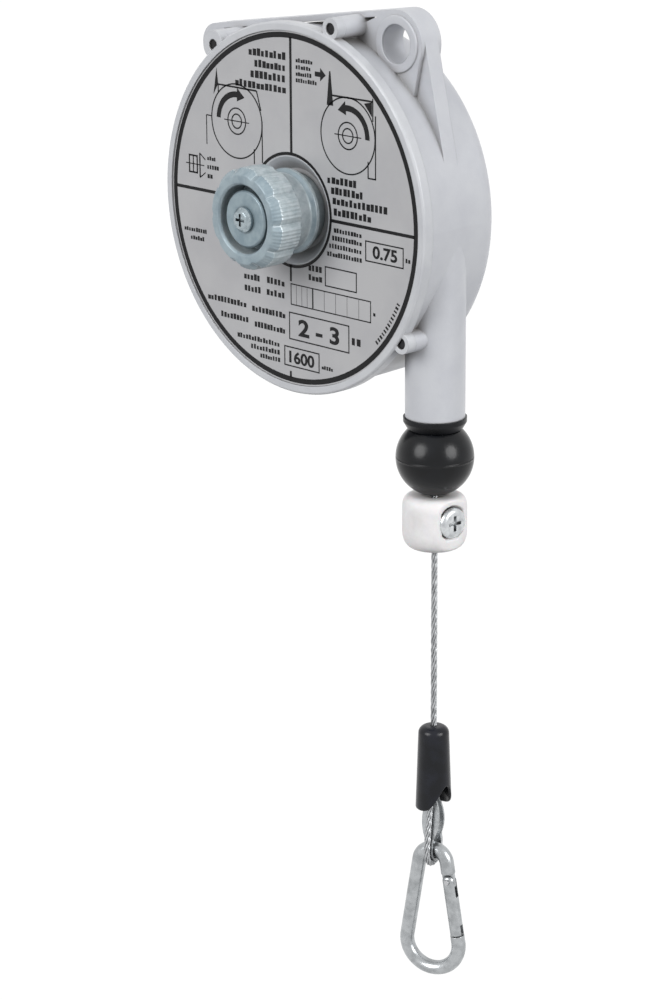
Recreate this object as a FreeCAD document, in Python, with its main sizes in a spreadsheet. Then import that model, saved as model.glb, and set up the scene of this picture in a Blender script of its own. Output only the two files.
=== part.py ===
import FreeCAD, Part
import math
import os
import Sketcher
from FreeCAD import Placement, Rotation, Vector

# Spring balancer: a round die-cast housing that hangs from one eye, with a spring drum inside,
# a rope that leaves through a tube at the side, and a snap hook on the rope's end.
# Origin: centre of the suspension eye, in the housing's middle plane. +Z is up, the label faces
# -Y, and X runs to the right as seen from the label. "Ahead" is distance towards -Y.

doc = FreeCAD.newDocument("tool_balancer")
sheet = doc.addObject("Spreadsheet::Sheet", "Sizes")

SIZES = [
    # housing, all round from the cavity
    ("cavity_radius", 57.5, "inner radius of the housing"),
    ("wall_thick", 3.1, "wall of the housing at the joint"),
    ("rim_overhang", 1.7, "how far the lid's rim stands out from the wall"),
    ("rim_band", 2.9, "width of the lid's rim round the label"),
    # lid
    ("face_ahead", 17.5, "label face, ahead of the middle plane"),
    ("rim_proud", 0.6, "how far the rim stands proud of the label"),
    ("rim_chamfer", 0.6, "chamfer on the rim's front edge"),
    ("joint_ahead", 14.0, "joint of lid and housing, ahead of the middle plane"),
    ("lid_thick", 2.5, "thickness of the lid's plate"),
    ("label_hole", 18.4, "inner radius of the label"),
    ("label_thick", 0.5, "thickness of the label"),
    ("label_gap", 0.1, "gap round the label in its seat"),
    ("recess_radius", 18.0, "radius of the hub recess at the face"),
    ("recess_floor", 13.6, "radius of the hub recess at its floor"),
    ("recess_depth", 4.0, "depth of the hub recess"),
    ("collar_depth", 2.4, "depth of the collar that holds the ratchet ring"),
    ("spigot_height", 2.0, "height of the spigot that centres the lid"),
    ("spigot_thick", 2.8, "wall of the spigot"),
    ("spigot_gap", 0.1, "gap between spigot and housing"),
    # housing body
    ("wall_draft", 0.8, "radius lost by the wall towards the back"),
    ("back_behind", 19.5, "back face, behind the middle plane"),
    ("back_round", 6.0, "rounding of the back edge"),
    ("floor_thick", 2.5, "thickness of the back wall"),
    ("cavity_chamfer", 5.2, "chamfer in the bottom of the cavity"),
    ("hub_radius", 12.0, "radius of the raised hub on the back"),
    ("hub_proud", 1.0, "height of the raised hub on the back"),
    ("bearing_wall", 3.5, "wall round the shaft bush"),
    # suspension ear, bar and left corner
    ("ear_angle", 57.45, "direction of the eye from the drum axis, in degrees from +X"),
    ("ear_out", 7.6, "centre of the eye, outside the wall"),
    ("eye_radius", 6.3, "radius of the suspension eye"),
    ("ear_radius", 11.0, "outer radius of the ear"),
    ("ear_half", 4.5, "half the thickness of ear and bar"),
    ("ear_foot_angle", 43.2, "where the ear's outer side meets the wall, in degrees"),
    ("fin_half", 3.0, "half the thickness of the fin below the ear"),
    ("bar_thick", 1.9, "thickness of the top bar"),
    ("corner_angle", 135.75, "direction of the left corner, in degrees from +X"),
    ("corner_out", 9.6, "centre of the left corner, outside the wall"),
    ("corner_radius", 6.8, "outer radius of the left corner"),
    ("root_depth", 4.0, "how far ribs and pads reach inside the cavity before it is cut"),
    ("post_start", 18.5, "post under the bar, along the bar from the left corner"),
    ("post_width", 7.0, "width of the post under the bar"),
    ("post_drop", 8.0, "length of the post, into the wall"),
    # screws of the lid
    ("boss_radius", 3.6, "radius of the screw bosses and their lugs"),
    ("ear_lug_radius", 4.9, "radius of the left lug"),
    ("left_lug_angle", 126.3, "direction of the left screw, in degrees from +X"),
    ("left_lug_out", 2.7, "left screw, outside the wall"),
    ("top_lug_angle", 72.8, "direction of the top screw, in degrees from +X"),
    ("top_lug_out", 4.2, "top screw, outside the wall"),
    ("low_lug_angle", -35.6, "direction of the lower screw, in degrees from +X"),
    ("low_lug_out", 2.35, "lower screw, outside the wall"),
    ("screw_radius", 1.2, "radius of the lid screws"),
    ("screw_head", 1.9, "head radius of the lid screws"),
    ("screw_head_height", 1.7, "head height of the lid screws"),
    ("screw_sink", 2.2, "depth of the counterbore in a lug"),
    ("screw_bite", 4.4, "how deep a lid screw goes into its boss"),
    ("pilot_extra", 0.8, "how much deeper the screw's hole is"),
    ("screw_gap", 0.06, "gap round screws in their holes"),
    # outlet tube, guide and rope
    ("tube_radius", 10.0, "outer radius of the outlet tube"),
    ("tube_bore", 7.5, "inner radius of the outlet tube"),
    ("tube_drop", 64.5, "lower end of the tube, below the drum axis"),
    ("rope_radius", 1.1, "radius of the wire rope"),
    ("rope_gap", 0.3, "gap round the rope in guide and ball"),
    ("guide_radius", 10.6, "radius of the guide's collar"),
    ("guide_foot", 9.2, "radius of the guide's lower face"),
    ("guide_height", 4.0, "height of the guide's collar"),
    ("guide_band", 1.6, "height of the straight part of the collar"),
    ("guide_spigot", 6.0, "length of the guide inside the tube"),
    ("guide_mouth", 1.2, "flare of the guide's mouth"),
    # rubber ball and stop clamp
    ("ball_radius", 13.1, "radius of the rubber ball"),
    ("ball_cap", 9.7, "height of the ball's centre below its flat top"),
    ("seat_gap", 0.3, "gap between faces that meet when the rope is home"),
    ("clamp_cup", 12.1, "upper face of the clamp, below the ball's centre"),
    ("cup_angle", 26.0, "slope of the clamp's seat for the ball, in degrees"),
    ("clamp_height", 20.9, "height of the clamp"),
    ("clamp_radius", 10.9, "radius of the clamp"),
    ("clamp_shoulder", 2.0, "rounding of the clamp's upper edge"),
    ("clamp_round", 6.5, "rounding of the clamp's lower edge"),
    ("clamp_flat", 9.2, "flat for the screw, from the rope"),
    ("clamp_screw_down", 8.8, "clamp screw, below the clamp's upper face"),
    ("clamp_turn", -6.0, "direction of the clamp screw, in degrees from +X"),
    ("clamp_head", 5.3, "head radius of the clamp screw"),
    ("clamp_head_height", 2.6, "head height of the clamp screw"),
    ("clamp_head_round", 1.8, "rounding of the clamp screw's head"),
    ("clamp_recess", 1.2, "depth of the recess for the clamp screw's head"),
    ("clamp_shank", 2.4, "radius of the clamp screw"),
    ("insert_radius", 4.0, "radius of the threaded insert"),
    ("insert_length", 4.5, "length of the threaded insert"),
    # rope end: sleeve, crimp, eye
    ("rope_shown", 62.5, "rope between clamp and sleeve"),
    ("sleeve_length", 27.5, "length of the sleeve to the middle of its mouth"),
    ("sleeve_turn", -4.0, "direction of the sleeve's open side, in degrees from +X"),
    ("sleeve_wall", 1.0, "wall of the sleeve at its mouth"),
    ("sleeve_taper", 0.4, "how much narrower the sleeve's inside is at the crimp"),
    ("sleeve_radius_top", 4.8, "radius of the sleeve near its top"),
    ("sleeve_radius_bottom", 6.15, "radius of the sleeve at its mouth"),
    ("sleeve_round", 2.6, "rounding of the sleeve's top"),
    ("mouth_slant", 5.6, "how much the sleeve's mouth is slanted to each side"),
    ("crimp_down", 4.0, "upper end of the crimp, below the sleeve's top"),
    ("crimp_length", 14.0, "length of the crimp"),
    ("crimp_radius", 2.9, "radius of the crimp"),
    ("crimp_chamfer", 0.5, "chamfers of the crimp"),
    ("leg_half", 1.3, "half the distance of the eye's legs in the crimp"),
    ("thimble_inner", 3.6, "inner radius of the thimble's bend"),
    ("thimble_thick", 0.7, "sheet thickness of the thimble"),
    ("thimble_half", 1.4, "half the width of the thimble at its bend"),
    ("thimble_flare", 3.1, "half the width of the thimble in its middle"),
    ("thimble_tip", 0.8, "half the width of the thimble at its top"),
    ("thimble_up", 2.5, "upper end of the thimble, above the middle of the sleeve's mouth"),
    ("thimble_leaf", 16.0, "length of the thimble's wide part"),
    # snap hook
    ("hook_turn", 20.0, "direction of the hook's gate side, in degrees from +X"),
    ("hook_down", 15.5, "top of the hook, below the middle of the sleeve's mouth"),
    ("hook_length", 50.0, "length of the hook"),
    ("hook_wire", 2.5, "radius of the hook's wire"),
    ("hook_small", 5.2, "radius of the hook's upper bend, at the wire's middle"),
    ("hook_large", 9.8, "radius of the hook's lower bend, at the wire's middle"),
    ("hook_rest_gap", 0.75, "gap between hook and thimble at the wire's middle"),
    ("gate_end", 26.6, "end of the gate, along it from the upper bend"),
    ("gate_radius", 2.4, "radius of the gate"),
    ("gate_gap", 0.4, "gap between the gate's ends and the hook's wire"),
    ("rivet_place", 6.6, "gate pivot, along the gate from the upper bend"),
    ("rivet_radius", 0.9, "radius of the gate's rivet"),
    ("tongue_half", 0.9, "half the thickness of the hook's flattened ends"),
    ("tongue_width", 2.0, "half the width of the hook's flattened upper end"),
    ("tongue_past", 2.2, "how far the upper flattened end reaches past the rivet"),
    ("tongue_root", 1.0, "how far the flattened ends reach into the round wire"),
    ("nose_width", 1.4, "half the width of the hook's flattened lower end"),
    ("nose_reach", 3.2, "how far the lower flattened end reaches into the gate"),
    ("slot_past", 6.0, "how far the gate's upper slot reaches past the rivet"),
    ("slot_end_gap", 0.4, "gap at the end of the gate's lower slot"),
    ("rivet_proud", 0.3, "how far the rivet stands out of the gate"),
    ("leaf_start", 2.6, "upper end of the gate's leaf spring, from the rivet"),
    ("leaf_end", 5.8, "lower end of the gate's leaf spring, from the rivet"),
    ("leaf_half", 0.7, "half the width of the gate's leaf spring"),
    ("leaf_thick", 0.6, "thickness of the gate's leaf spring"),
    ("slot_gap", 0.12, "gap each side between a flattened end and the gate's slot"),
    # shaft and its bearings
    ("run_gap", 0.05, "radial running gap of the bearings"),
    ("face_gap", 0.1, "gap between faces that turn on each other"),
    ("journal_front", 6.0, "radius of the shaft in the front drum bush"),
    ("journal_rear", 5.0, "radius of the shaft in the rear bushes"),
    ("barrel_radius", 9.0, "radius of the shaft inside the spring"),
    ("barrel_gap", 1.5, "gap between the drum's web and the shaft inside the spring"),
    ("bush_wall", 2.0, "wall of the bushes"),
    ("washer_thick", 0.8, "thickness of the thrust washers"),
    ("washer_radius", 9.4, "outer radius of the thrust washers"),
    ("shaft_hex", 10.0, "shaft's hexagon across flats"),
    ("hex_gap", 0.06, "gap each side of the hexagon in the knob"),
    ("hex_reach", 5.0, "how far the hexagon stands into the knob's spring bore"),
    ("shaft_front_radius", 4.2, "radius of the shaft in front of its hexagon"),
    # drum and spring
    ("drum_gap", 5.0, "gap between the drum's flanges and the housing"),
    ("rope_space", 3.7, "height of the drum's flanges over the rope's root"),
    ("drum_half", 10.0, "half the width of the drum"),
    ("flange_thick", 1.4, "thickness of the drum's flanges"),
    ("drum_rim", 5.0, "thickness of the drum's rim"),
    ("web_thick", 2.5, "thickness of the drum's web"),
    ("hub_wall", 3.0, "wall of the drum's hub"),
    ("spring_cover", 1.4, "thickness of the drum cover"),
    ("cover_screw_radius", 1.0, "radius of the drum cover's screws"),
    ("cover_screw_head", 1.8, "head radius of the drum cover's screws"),
    ("cover_screw_length", 6.0, "length of the drum cover's screws"),
    ("cover_screw_count", 4, "number of drum cover screws"),
    ("strip_thick", 0.8, "thickness of the spring strip"),
    ("strip_gap", 0.2, "gap between spring and drum"),
    ("strip_side_gap", 0.4, "gap between spring and drum, sideways"),
    ("strip_pitch", 1.8, "radial pitch of the outer spring turns"),
    ("strip_eye_gap", 1.0, "gap between the spring's inner turn and the next"),
    ("strip_turns", 7, "number of outer spring turns"),
    ("anchor_radius", 1.9, "radius of the rope's crimp in the drum"),
    ("anchor_length", 4.6, "length of the rope's crimp in the drum"),
    # ratchet
    ("ratchet_radius", 17.0, "outer radius of the ratchet ring"),
    ("ratchet_floor", 1.5, "thickness of the ratchet ring's floor"),
    ("ratchet_depth", 4.0, "depth of the ratchet ring"),
    ("ratchet_teeth", 12, "number of ratchet teeth"),
    ("tooth_inner", 8.3, "inner radius of the teeth"),
    ("tooth_length", 3.0, "radial length of the teeth"),
    ("tooth_shift", 1.1, "first tooth of ring and knob, each side of the middle"),
    ("tooth_width", 1.7, "width of the teeth"),
    ("tooth_height", 1.5, "height of the teeth"),
    ("tooth_gap", 0.3, "gap over the teeth's tips"),
    # knob
    ("neck_radius", 12.0, "radius of the knob's neck"),
    ("neck_gap", 0.08, "radial gap round the neck in the lid"),
    ("knob_ahead", 39.5, "front of the knob, ahead of the middle plane"),
    ("knob_height", 12.0, "height of the knob's head"),
    ("knob_radius", 17.0, "radius of the knob's head"),
    ("knob_chamfer", 1.2, "chamfer on the knob's head"),
    ("knob_window", 11.4, "radius of the knob's front opening"),
    ("knob_window_depth", 8.0, "depth of the knob's front opening"),
    ("spring_seat", 17.5, "depth of the knob's spring seat from its front"),
    ("spring_bore", 8.2, "radius of the knob's spring bore"),
    ("flute_count", 10, "number of flutes on the knob"),
    ("flute_radius", 5.0, "radius of the flutes"),
    ("flute_depth", 1.0, "depth of the flutes"),
    ("disc_radius", 9.5, "radius of the retaining disc"),
    ("disc_sunk", 1.2, "how far the disc sits behind the knob's front"),
    ("disc_thick", 2.0, "thickness of the retaining disc"),
    ("knob_screw_radius", 2.5, "radius of the knob screw"),
    ("knob_screw_head", 4.2, "head radius of the knob screw"),
    ("knob_screw_height", 2.3, "head height of the knob screw"),
    ("knob_screw_length", 9.0, "length of the knob screw"),
    ("coil_radius", 6.9, "mean radius of the knob's spring"),
    ("coil_wire", 0.6, "wire radius of the knob's spring"),
    ("coil_turns", 5, "turns of the knob's spring"),
]


class Size:
    """A number with the spreadsheet expression that gives it, so that both change together."""

    def __init__(self, value, text):
        self.value = float(value)
        self.text = text

    def __add__(self, other):
        return Size(self.value + number(other), f"({self.text} + {words(other)})")

    def __radd__(self, other):
        return Size(number(other) + self.value, f"({words(other)} + {self.text})")

    def __sub__(self, other):
        return Size(self.value - number(other), f"({self.text} - {words(other)})")

    def __rsub__(self, other):
        return Size(number(other) - self.value, f"({words(other)} - {self.text})")

    def __mul__(self, other):
        return Size(self.value * number(other), f"({self.text} * {words(other)})")

    def __rmul__(self, other):
        return Size(number(other) * self.value, f"({words(other)} * {self.text})")

    def __truediv__(self, other):
        return Size(self.value / number(other), f"({self.text} / {words(other)})")

    def __rtruediv__(self, other):
        return Size(number(other) / self.value, f"({words(other)} / {self.text})")

    def __neg__(self):
        return Size(-self.value, f"(-1 * {self.text})")


def number(size):
    return size.value if isinstance(size, Size) else float(size)


def words(size):
    return size.text if isinstance(size, Size) else repr(size)


def cos(angle):
    return Size(math.cos(math.radians(number(angle))), f"cos({words(angle)})")


def sin(angle):
    return Size(math.sin(math.radians(number(angle))), f"sin({words(angle)})")


def tan(angle):
    return Size(math.tan(math.radians(number(angle))), f"tan({words(angle)})")


def arcsine(ratio):
    return Size(math.degrees(math.asin(number(ratio))), f"(asin({words(ratio)}) / 1deg)")


def angle_to(x, z):
    value = math.degrees(math.atan2(number(z), number(x)))
    return Size(value, f"(atan2({words(z)}; {words(x)}) / 1deg)")


def length_of(x, z):
    return Size(math.hypot(number(x), number(z)), f"hypot({words(x)}; {words(z)})")


def other_side(hypotenuse, side):
    """The third side of a right-angled triangle."""
    value = math.sqrt(number(hypotenuse) ** 2 - number(side) ** 2)
    return Size(value, f"sqrt({words(hypotenuse)}^2 - {words(side)}^2)")


class Sizes:
    pass


S = Sizes()
for row, (alias, value, meaning) in enumerate(SIZES, start=1):
    sheet.set(f"A{row}", meaning)
    sheet.set(f"B{row}", repr(value))
    sheet.setAlias(f"B{row}", alias)
    setattr(S, alias, Size(value, f"Sizes.{alias}"))
doc.recompute()

# ---------------------------------------------------------------- tools for sketches and features

nodes = {}


def place(feature, x=0, y=0, z=0, turn=None):
    """Binds a Placement: a turn about Z in degrees and a base point."""
    if turn is not None:
        feature.Placement = Placement(Vector(0, 0, 0), Rotation(Vector(0, 0, 1), number(turn)))
        feature.setExpression("Placement.Rotation.Angle", words(turn))
    for name, size in (("x", x), ("y", y), ("z", z)):
        feature.setExpression(f"Placement.Base.{name}", words(size))


def new_body(label, x=0, z=0, turn=None):
    body = doc.addObject("PartDesign::Body", "Body")
    body.Label = label
    place(body, x=x, z=z, turn=turn)
    nodes[label] = body
    return body


def drum_body(label):
    """A body whose own origin lies on the drum axis, in the middle plane."""
    return new_body(label, x=drum_x, z=drum_z)


def rope_body(label, turn=None):
    """A body whose own origin lies over the rope, at the height of the drum axis."""
    return new_body(label, x=drum_x + outlet_offset, z=drum_z, turn=turn)


def datum(body, role):
    return next(item for item in body.Origin.OriginFeatures if item.Role == role)


def sketch_on(body, role, lift=0):
    sketch = body.newObject("Sketcher::SketchObject", "Sketch")
    sketch.AttachmentSupport = (datum(body, role), "")
    sketch.MapMode = "FlatFace"
    sketch.setExpression("AttachmentOffset.Base.z", words(lift))
    return sketch


def pin(sketch, curve, end, x, y):
    """Fixes one point of a sketch curve, bound to its sizes."""
    for kind, size, axis in (("DistanceX", x, -2), ("DistanceY", y, -1)):
        if not isinstance(size, Size) and size == 0:
            sketch.addConstraint(Sketcher.Constraint("PointOnObject", curve, end, axis))
            continue
        index = sketch.addConstraint(
            Sketcher.Constraint(kind, -1, 1, curve, end, number(size)))
        sketch.setExpression(f"Constraints[{index}]", words(size))


def bind_radius(sketch, curve, radius):
    index = sketch.addConstraint(Sketcher.Constraint("Radius", curve, number(radius)))
    sketch.setExpression(f"Constraints[{index}]", words(radius))


def circle(sketch, x, y, radius):
    shape = Part.Circle(Vector(number(x), number(y), 0), Vector(0, 0, 1), number(radius))
    curve = sketch.addGeometry(shape, False)
    pin(sketch, curve, 3, x, y)
    bind_radius(sketch, curve, radius)


def trace(sketch, corners):
    """Closed outline through the corners: (x, y), or (x, y, radius, centre) to reach it by an arc."""
    ends = []
    for before, corner in zip([corners[-1]] + corners[:-1], corners):
        start = Vector(number(before[0]), number(before[1]), 0)
        goal = Vector(number(corner[0]), number(corner[1]), 0)
        if len(corner) == 2:
            ends.append((sketch.addGeometry(Part.LineSegment(start, goal), False), 1, 2))
            continue
        centre = Vector(number(corner[3][0]), number(corner[3][1]), 0)
        ring = Part.Circle(centre, Vector(0, 0, 1), number(corner[2]))
        forward = (start - centre).cross(goal - centre).z > 0
        low, high = (start, goal) if forward else (goal, start)
        arc = Part.ArcOfCircle(ring, ring.parameter(low), ring.parameter(high))
        curve = sketch.addGeometry(arc, False)
        bind_radius(sketch, curve, corner[2])
        ends.append((curve, 1, 2) if forward else (curve, 2, 1))
    for (curve, _, finish), (follower, begin, _) in zip(ends, ends[1:] + ends[:1]):
        sketch.addConstraint(Sketcher.Constraint("Coincident", curve, finish, follower, begin))
    for (curve, _, finish), corner in zip(ends, corners):
        pin(sketch, curve, finish, corner[0], corner[1])


def pad(body, sketch, length, reverse=False):
    feature = body.newObject("PartDesign::Pad", "Pad")
    feature.Profile = sketch
    feature.setExpression("Length", words(length))
    feature.Reversed = reverse
    return feature


def revolve(body, sketch, axis="V_Axis"):
    feature = body.newObject("PartDesign::Revolution", "Revolution")
    feature.Profile = sketch
    feature.ReferenceAxis = (sketch, [axis])
    feature.Angle = 360
    return feature


def must_shrink(body, before, feature):
    doc.recompute()
    if not body.Shape.Volume < before - 1e-6:
        raise RuntimeError(f"{feature.Label} of {body.Label} cuts nothing")
    return feature


def pocket(body, sketch, length, reverse=False):
    doc.recompute()
    before = body.Shape.Volume
    feature = body.newObject("PartDesign::Pocket", "Pocket")
    feature.Profile = sketch
    feature.setExpression("Length", words(length))
    feature.Reversed = reverse
    return must_shrink(body, before, feature)


def groove(body, sketch, axis="V_Axis"):
    doc.recompute()
    before = body.Shape.Volume
    feature = body.newObject("PartDesign::Groove", "Groove")
    feature.Profile = sketch
    feature.ReferenceAxis = (sketch, [axis])
    feature.Angle = 360
    return must_shrink(body, before, feature)


def around(body, feature, count, role="Y_Axis"):
    pattern = body.newObject("PartDesign::PolarPattern", "PolarPattern")
    pattern.Originals = [feature]
    pattern.Axis = (datum(body, role), [""])
    pattern.Angle = 360
    pattern.setExpression("Occurrences", words(count))
    body.Tip = pattern
    return pattern


def turned(body, corners, plane="XY_Plane"):
    """Lathe shape: corners are (radius, place on the axis)."""
    sketch = sketch_on(body, plane)
    trace(sketch, corners)
    return revolve(body, sketch)


def cross_recess(sketch, head_radius, middle):
    """Outline of a cross recess for a screwdriver, on the sketch's vertical axis."""
    arm, half = head_radius / 2, head_radius / 9
    trace(sketch, [
        (-arm, middle - half), (-half, middle - half), (-half, middle - arm),
        (half, middle - arm), (half, middle - half), (arm, middle - half),
        (arm, middle + half), (half, middle + half), (half, middle + arm),
        (-half, middle + arm), (-half, middle + half), (-arm, middle + half),
    ])


def rod(radius, length, x, y, z, along="y"):
    """A Part cylinder from a base point, along +Y or along +Z."""
    feature = doc.addObject("Part::Cylinder", "Cylinder")
    if along == "y":
        feature.Placement = Placement(Vector(0, 0, 0), Rotation(Vector(1, 0, 0), -90))
    feature.setExpression("Radius", words(radius))
    feature.setExpression("Height", words(length))
    for name, size in (("x", x), ("y", y), ("z", z)):
        feature.setExpression(f"Placement.Base.{name}", words(size))
    return feature


def fuse(parts):
    feature = doc.addObject("Part::MultiFuse", "Fusion")
    feature.Shapes = parts
    return feature


def group(label, parts):
    feature = doc.addObject("Part::Compound", "Compound")
    feature.Links = parts
    feature.Label = label
    nodes[label] = feature
    return feature


# ---------------------------------------------------------------- outlines shared by several parts

def toward(angle, radius):
    """A point at a distance from the drum axis, in a direction counted from +X towards +Z."""
    return (radius * cos(angle), radius * sin(angle))


wall_radius = S.cavity_radius + S.wall_thick
rim_radius = wall_radius + S.rim_overhang
label_radius = rim_radius - S.rim_band
ear_x, ear_z = toward(S.ear_angle, wall_radius + S.ear_out)
drum_x, drum_z = -ear_x, -ear_z
corner_x, corner_z = toward(S.corner_angle, wall_radius + S.corner_out)
top_lug = toward(S.top_lug_angle, wall_radius + S.top_lug_out)
lugs = [
    toward(S.left_lug_angle, wall_radius + S.left_lug_out) + (S.ear_lug_radius,),
    top_lug + (S.boss_radius,),
    toward(S.low_lug_angle, wall_radius + S.low_lug_out) + (S.boss_radius,),
]
drum_flange = S.cavity_radius - S.drum_gap
drum_root = drum_flange - S.rope_space
outlet_offset = drum_root + S.rope_radius
seat_ahead = S.face_ahead - S.label_thick
recess_ahead = S.face_ahead - S.recess_depth
ratchet_ahead = recess_ahead - S.lid_thick
neck_hole = S.neck_radius + S.neck_gap
plate_ahead = seat_ahead - S.lid_thick

# ---------------------------------------------------------------- front_cover
# Lid: a plate with a raised rim, a dished recess round the knob's neck, a spigot that centres it
# in the housing, a collar for the ratchet ring and three lugs for its screws.
front_cover = drum_body("front_cover")
seat_radius = label_radius + S.label_gap
spigot_radius = S.cavity_radius - S.spigot_gap
rim_ahead = S.face_ahead + S.rim_proud
collar_radius = S.ratchet_radius + S.screw_gap
collar_ahead = ratchet_ahead - S.collar_depth
turned(front_cover, [
    (neck_hole, -recess_ahead),
    (S.recess_floor, -recess_ahead),
    (S.recess_radius, -S.face_ahead),
    (S.label_hole - S.label_gap, -S.face_ahead),
    (S.label_hole - S.label_gap, -seat_ahead),
    (seat_radius, -seat_ahead),
    (seat_radius, -rim_ahead),
    (rim_radius - S.rim_chamfer, -rim_ahead),
    (rim_radius, S.rim_chamfer - rim_ahead),
    (rim_radius, -S.joint_ahead),
    (spigot_radius, -S.joint_ahead),
    (spigot_radius, S.spigot_height - S.joint_ahead),
    (spigot_radius - S.spigot_thick, S.spigot_height - S.joint_ahead),
    (spigot_radius - S.spigot_thick, -plate_ahead),
    (collar_radius + 2 * S.lid_thick, -plate_ahead),
    (collar_radius + S.lid_thick, -collar_ahead),
    (collar_radius, -collar_ahead),
    (collar_radius, -ratchet_ahead),
    (neck_hole, -ratchet_ahead),
])
lug_sketch = sketch_on(front_cover, "XZ_Plane", S.joint_ahead)
for lug_x, lug_z, lug_radius in lugs:
    circle(lug_sketch, lug_x, lug_z, lug_radius)
pad(front_cover, lug_sketch, S.face_ahead - S.joint_ahead)
seat_sketch = sketch_on(front_cover, "XY_Plane")
trace(seat_sketch, [
    (seat_radius - S.rim_band, -seat_ahead),
    (seat_radius, -seat_ahead),
    (seat_radius, -S.face_ahead),
    (seat_radius - S.rim_band, -S.face_ahead),
])
groove(front_cover, seat_sketch)
for hole, depth in ((S.screw_radius + S.screw_gap, S.face_ahead - S.joint_ahead),
                    (S.screw_head + S.screw_gap, S.screw_sink)):
    hole_sketch = sketch_on(front_cover, "XZ_Plane", S.face_ahead)
    for lug_x, lug_z, _ in lugs:
        circle(hole_sketch, lug_x, lug_z, hole)
    pocket(front_cover, hole_sketch, depth)

# ---------------------------------------------------------------- label_plate
# Thin ring that lies in the lid's seat.
label_plate = drum_body("label_plate")
label_sketch = sketch_on(label_plate, "XZ_Plane", seat_ahead)
circle(label_sketch, 0, 0, label_radius)
circle(label_sketch, 0, 0, S.label_hole)
pad(label_plate, label_sketch, S.label_thick)

# ---------------------------------------------------------------- housing_body
# Cup casting, open at the front. In its middle plane it carries the suspension ear, the thin bar
# that ties the ear to the left corner, and the outlet tube, whose wall runs out tangent to the cup.
housing = drum_body("housing_body")
back_radius = wall_radius - S.wall_draft
round_start = S.back_behind - S.back_round
turned(housing, [
    (0, -S.joint_ahead),
    (wall_radius, -S.joint_ahead),
    (back_radius, round_start),
    (back_radius - S.back_round, S.back_behind, S.back_round,
     (back_radius - S.back_round, round_start)),
    (S.hub_radius + S.hub_proud, S.back_behind),
    (S.hub_radius, S.back_behind + S.hub_proud),
    (0, S.back_behind + S.hub_proud),
])

bar_span_x = ear_x - corner_x
bar_span_z = ear_z - corner_z
bar_slope = (angle_to(bar_span_x, bar_span_z)
             + arcsine((S.ear_radius - S.corner_radius) / length_of(bar_span_x, bar_span_z)))
ear_distance = length_of(ear_x, ear_z)
fin_angle = (angle_to(ear_x, ear_z) - 90
             + arcsine((wall_radius - S.ear_radius) / ear_distance))
inside = S.cavity_radius - S.root_depth


def off_bar(x, z, drop):
    """A point moved square to the bar, upwards by drop."""
    return (x - drop * sin(bar_slope), z + drop * cos(bar_slope))


def along_bar(distance, drop):
    """A point on the bar's upper edge, counted from the left corner, then lowered by drop."""
    x, z = off_bar(corner_x, corner_z, S.corner_radius - drop)
    return (x + distance * cos(bar_slope), z + distance * sin(bar_slope))


def slab(half, draw):
    """Pads what draw puts in a sketch, half to each side of the middle plane."""
    sketch = sketch_on(housing, "XZ_Plane", -half)
    draw(sketch)
    return pad(housing, sketch, 2 * half)


ear_left = off_bar(ear_x, ear_z, S.ear_radius)
bar_left = along_bar(0, 0)
corner_side_x = S.corner_radius * sin(S.corner_angle)
corner_side_z = S.corner_radius * cos(S.corner_angle)
fin_x, fin_z = toward(fin_angle, S.ear_radius)
slab(S.ear_half, lambda sketch: circle(sketch, ear_x, ear_z, S.ear_radius))
slab(S.ear_half, lambda sketch: trace(sketch, [
    (ear_x + S.ear_radius, ear_z),
    ear_left,
    top_lug,
    toward(S.top_lug_angle, inside),
    toward(S.ear_foot_angle, inside),
    toward(S.ear_foot_angle, wall_radius),
]))
slab(S.fin_half, lambda sketch: trace(sketch, [
    (ear_x, ear_z),
    toward(S.ear_foot_angle, inside),
    toward(fin_angle, inside),
    toward(fin_angle, back_radius),
    (ear_x + fin_x, ear_z + fin_z),
]))
slab(S.ear_half, lambda sketch: trace(sketch, [
    bar_left,
    off_bar(corner_x, corner_z, S.corner_radius - S.bar_thick),
    off_bar(ear_x, ear_z, S.ear_radius - S.bar_thick),
    ear_left,
]))
slab(S.ear_half, lambda sketch: trace(sketch, [
    along_bar(S.post_start, S.bar_thick / 2),
    along_bar(S.post_start, S.post_drop),
    along_bar(S.post_start + S.post_width, S.post_drop),
    along_bar(S.post_start + S.post_width, S.bar_thick / 2),
]))
corner_foot_x, corner_foot_z = toward(S.corner_angle, inside)
slab(S.ear_half, lambda sketch: trace(sketch, [
    (corner_x + corner_side_x, corner_z - corner_side_z),
    (corner_x - corner_side_x, corner_z + corner_side_z),
    (corner_foot_x - corner_side_x, corner_foot_z + corner_side_z),
    (corner_foot_x + corner_side_x, corner_foot_z - corner_side_z),
]))
slab(S.ear_half, lambda sketch: circle(sketch, corner_x, corner_z, S.corner_radius))

boss_sketch = sketch_on(housing, "XZ_Plane")
for lug_x, lug_z, lug_radius in lugs:
    circle(boss_sketch, lug_x, lug_z, lug_radius)
pad(housing, boss_sketch, S.joint_ahead)

tube_sketch = sketch_on(housing, "XY_Plane")
circle(tube_sketch, outlet_offset, 0, S.tube_radius)
pad(housing, tube_sketch, S.tube_drop, reverse=True)

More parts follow.
